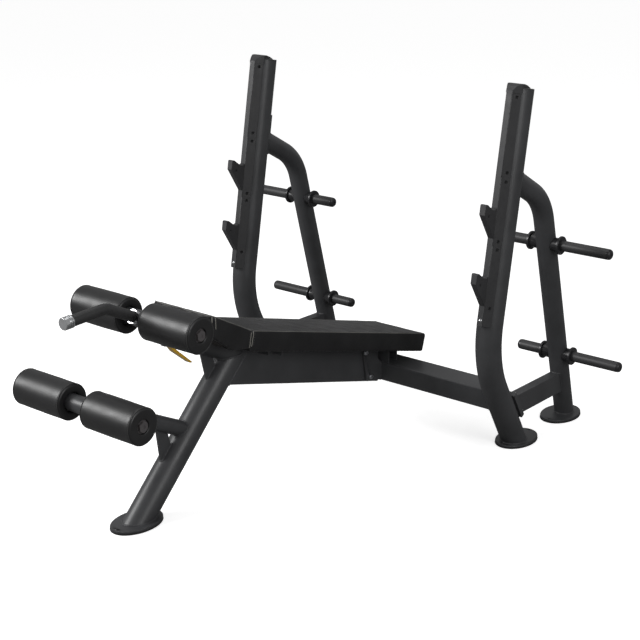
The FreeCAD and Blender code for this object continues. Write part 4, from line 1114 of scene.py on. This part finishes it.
def floor():
    s, z = FLOOR_HALF, FLOOR_Z
    mesh = bpy.data.meshes.new("floor")
    mesh.from_pydata([(-s, -s, z), (s, -s, z), (s, s, z), (-s, s, z)], [], [(0, 1, 2, 3)])
    obj = bpy.data.objects.new("floor", mesh)
    bpy.context.scene.collection.objects.link(obj)
    g = Graph("floor")
    path = g.add("ShaderNodeLightPath")
    pale = g.ramp(path, "Is Camera Ray", [(0.0, (FLOOR_BOUNCE,) * 3), (1.0, (0.96, 0.96, 0.96))])
    g.link(pale, "Color", g.bsdf, "Base Color")
    lift = g.add("ShaderNodeMath", operation="MULTIPLY")
    lift.inputs[1].default_value = FLOOR_GLOW
    g.link(path, "Is Camera Ray", lift, 0)
    g.link(lift, "Value", g.bsdf, "Emission Strength")
    g.set(Roughness=0.85, Specular_IOR_Level=0.1, Emission_Color=(1, 1, 1, 1))
    mesh.materials.append(g.mat)


def area(name, place, target, size, power):
    light = bpy.data.lights.new(name, "AREA")
    light.energy = power
    light.shape = "RECTANGLE"
    light.size, light.size_y = size
    obj = bpy.data.objects.new(name, light)
    bpy.context.scene.collection.objects.link(obj)
    obj.location = place
    obj.rotation_euler = (Vector(target) - Vector(place)).to_track_quat("-Z", "Y").to_euler()


def camera():
    cam = bpy.data.cameras.new("camera")
    cam.lens = LENS
    cam.sensor_width = SENSOR
    cam.clip_end = 60.0
    obj = bpy.data.objects.new("camera", cam)
    bpy.context.scene.collection.objects.link(obj)
    obj.location = CAMERA_PLACE
    sight = Vector(CAMERA_TARGET) - Vector(CAMERA_PLACE)
    obj.rotation_euler = sight.to_track_quat("-Z", "Y").to_euler()
    bpy.context.scene.camera = obj


def studio():
    """White backdrop for the eye; as light, bright from above and behind, dim from the camera's side."""
    scene = bpy.context.scene
    scene.view_settings.view_transform = "Standard"
    world = bpy.data.worlds.new("studio")
    scene.world = world
    world.use_nodes = True
    tree = world.node_tree
    tree.nodes.clear()
    out = tree.nodes.new("ShaderNodeOutputWorld")
    seen = tree.nodes.new("ShaderNodeBackground")
    light = tree.nodes.new("ShaderNodeBackground")
    mix = tree.nodes.new("ShaderNodeMixShader")
    path = tree.nodes.new("ShaderNodeLightPath")
    coord = tree.nodes.new("ShaderNodeTexCoord")
    facing = tree.nodes.new("ShaderNodeVectorMath")
    facing.operation = "DOT_PRODUCT"
    facing.inputs[1].default_value = Vector(BRIGHT_SIDE).normalized()
    level = tree.nodes.new("ShaderNodeMapRange")
    level.interpolation_type = "SMOOTHSTEP"
    for key, value in zip(("From Min", "From Max", "To Min", "To Max"), (*FADE, DIM, BRIGHT)):
        level.inputs[key].default_value = value
    tree.links.new(coord.outputs["Generated"], facing.inputs[0])
    tree.links.new(facing.outputs["Value"], level.inputs["Value"])
    tree.links.new(level.outputs["Result"], light.inputs["Strength"])
    tree.links.new(path.outputs["Is Camera Ray"], mix.inputs[0])
    tree.links.new(light.outputs[0], mix.inputs[1])
    tree.links.new(seen.outputs[0], mix.inputs[2])
    tree.links.new(mix.outputs[0], out.inputs["Surface"])
    seen.inputs["Color"].default_value = (1, 1, 1, 1)
    for light_settings in LIGHTS:
        area(*light_settings)


finish_cad()
cushions()
rollers()
grip()
foot_rubbers()
coil()
weld_beads()
floor()
camera()
studio()
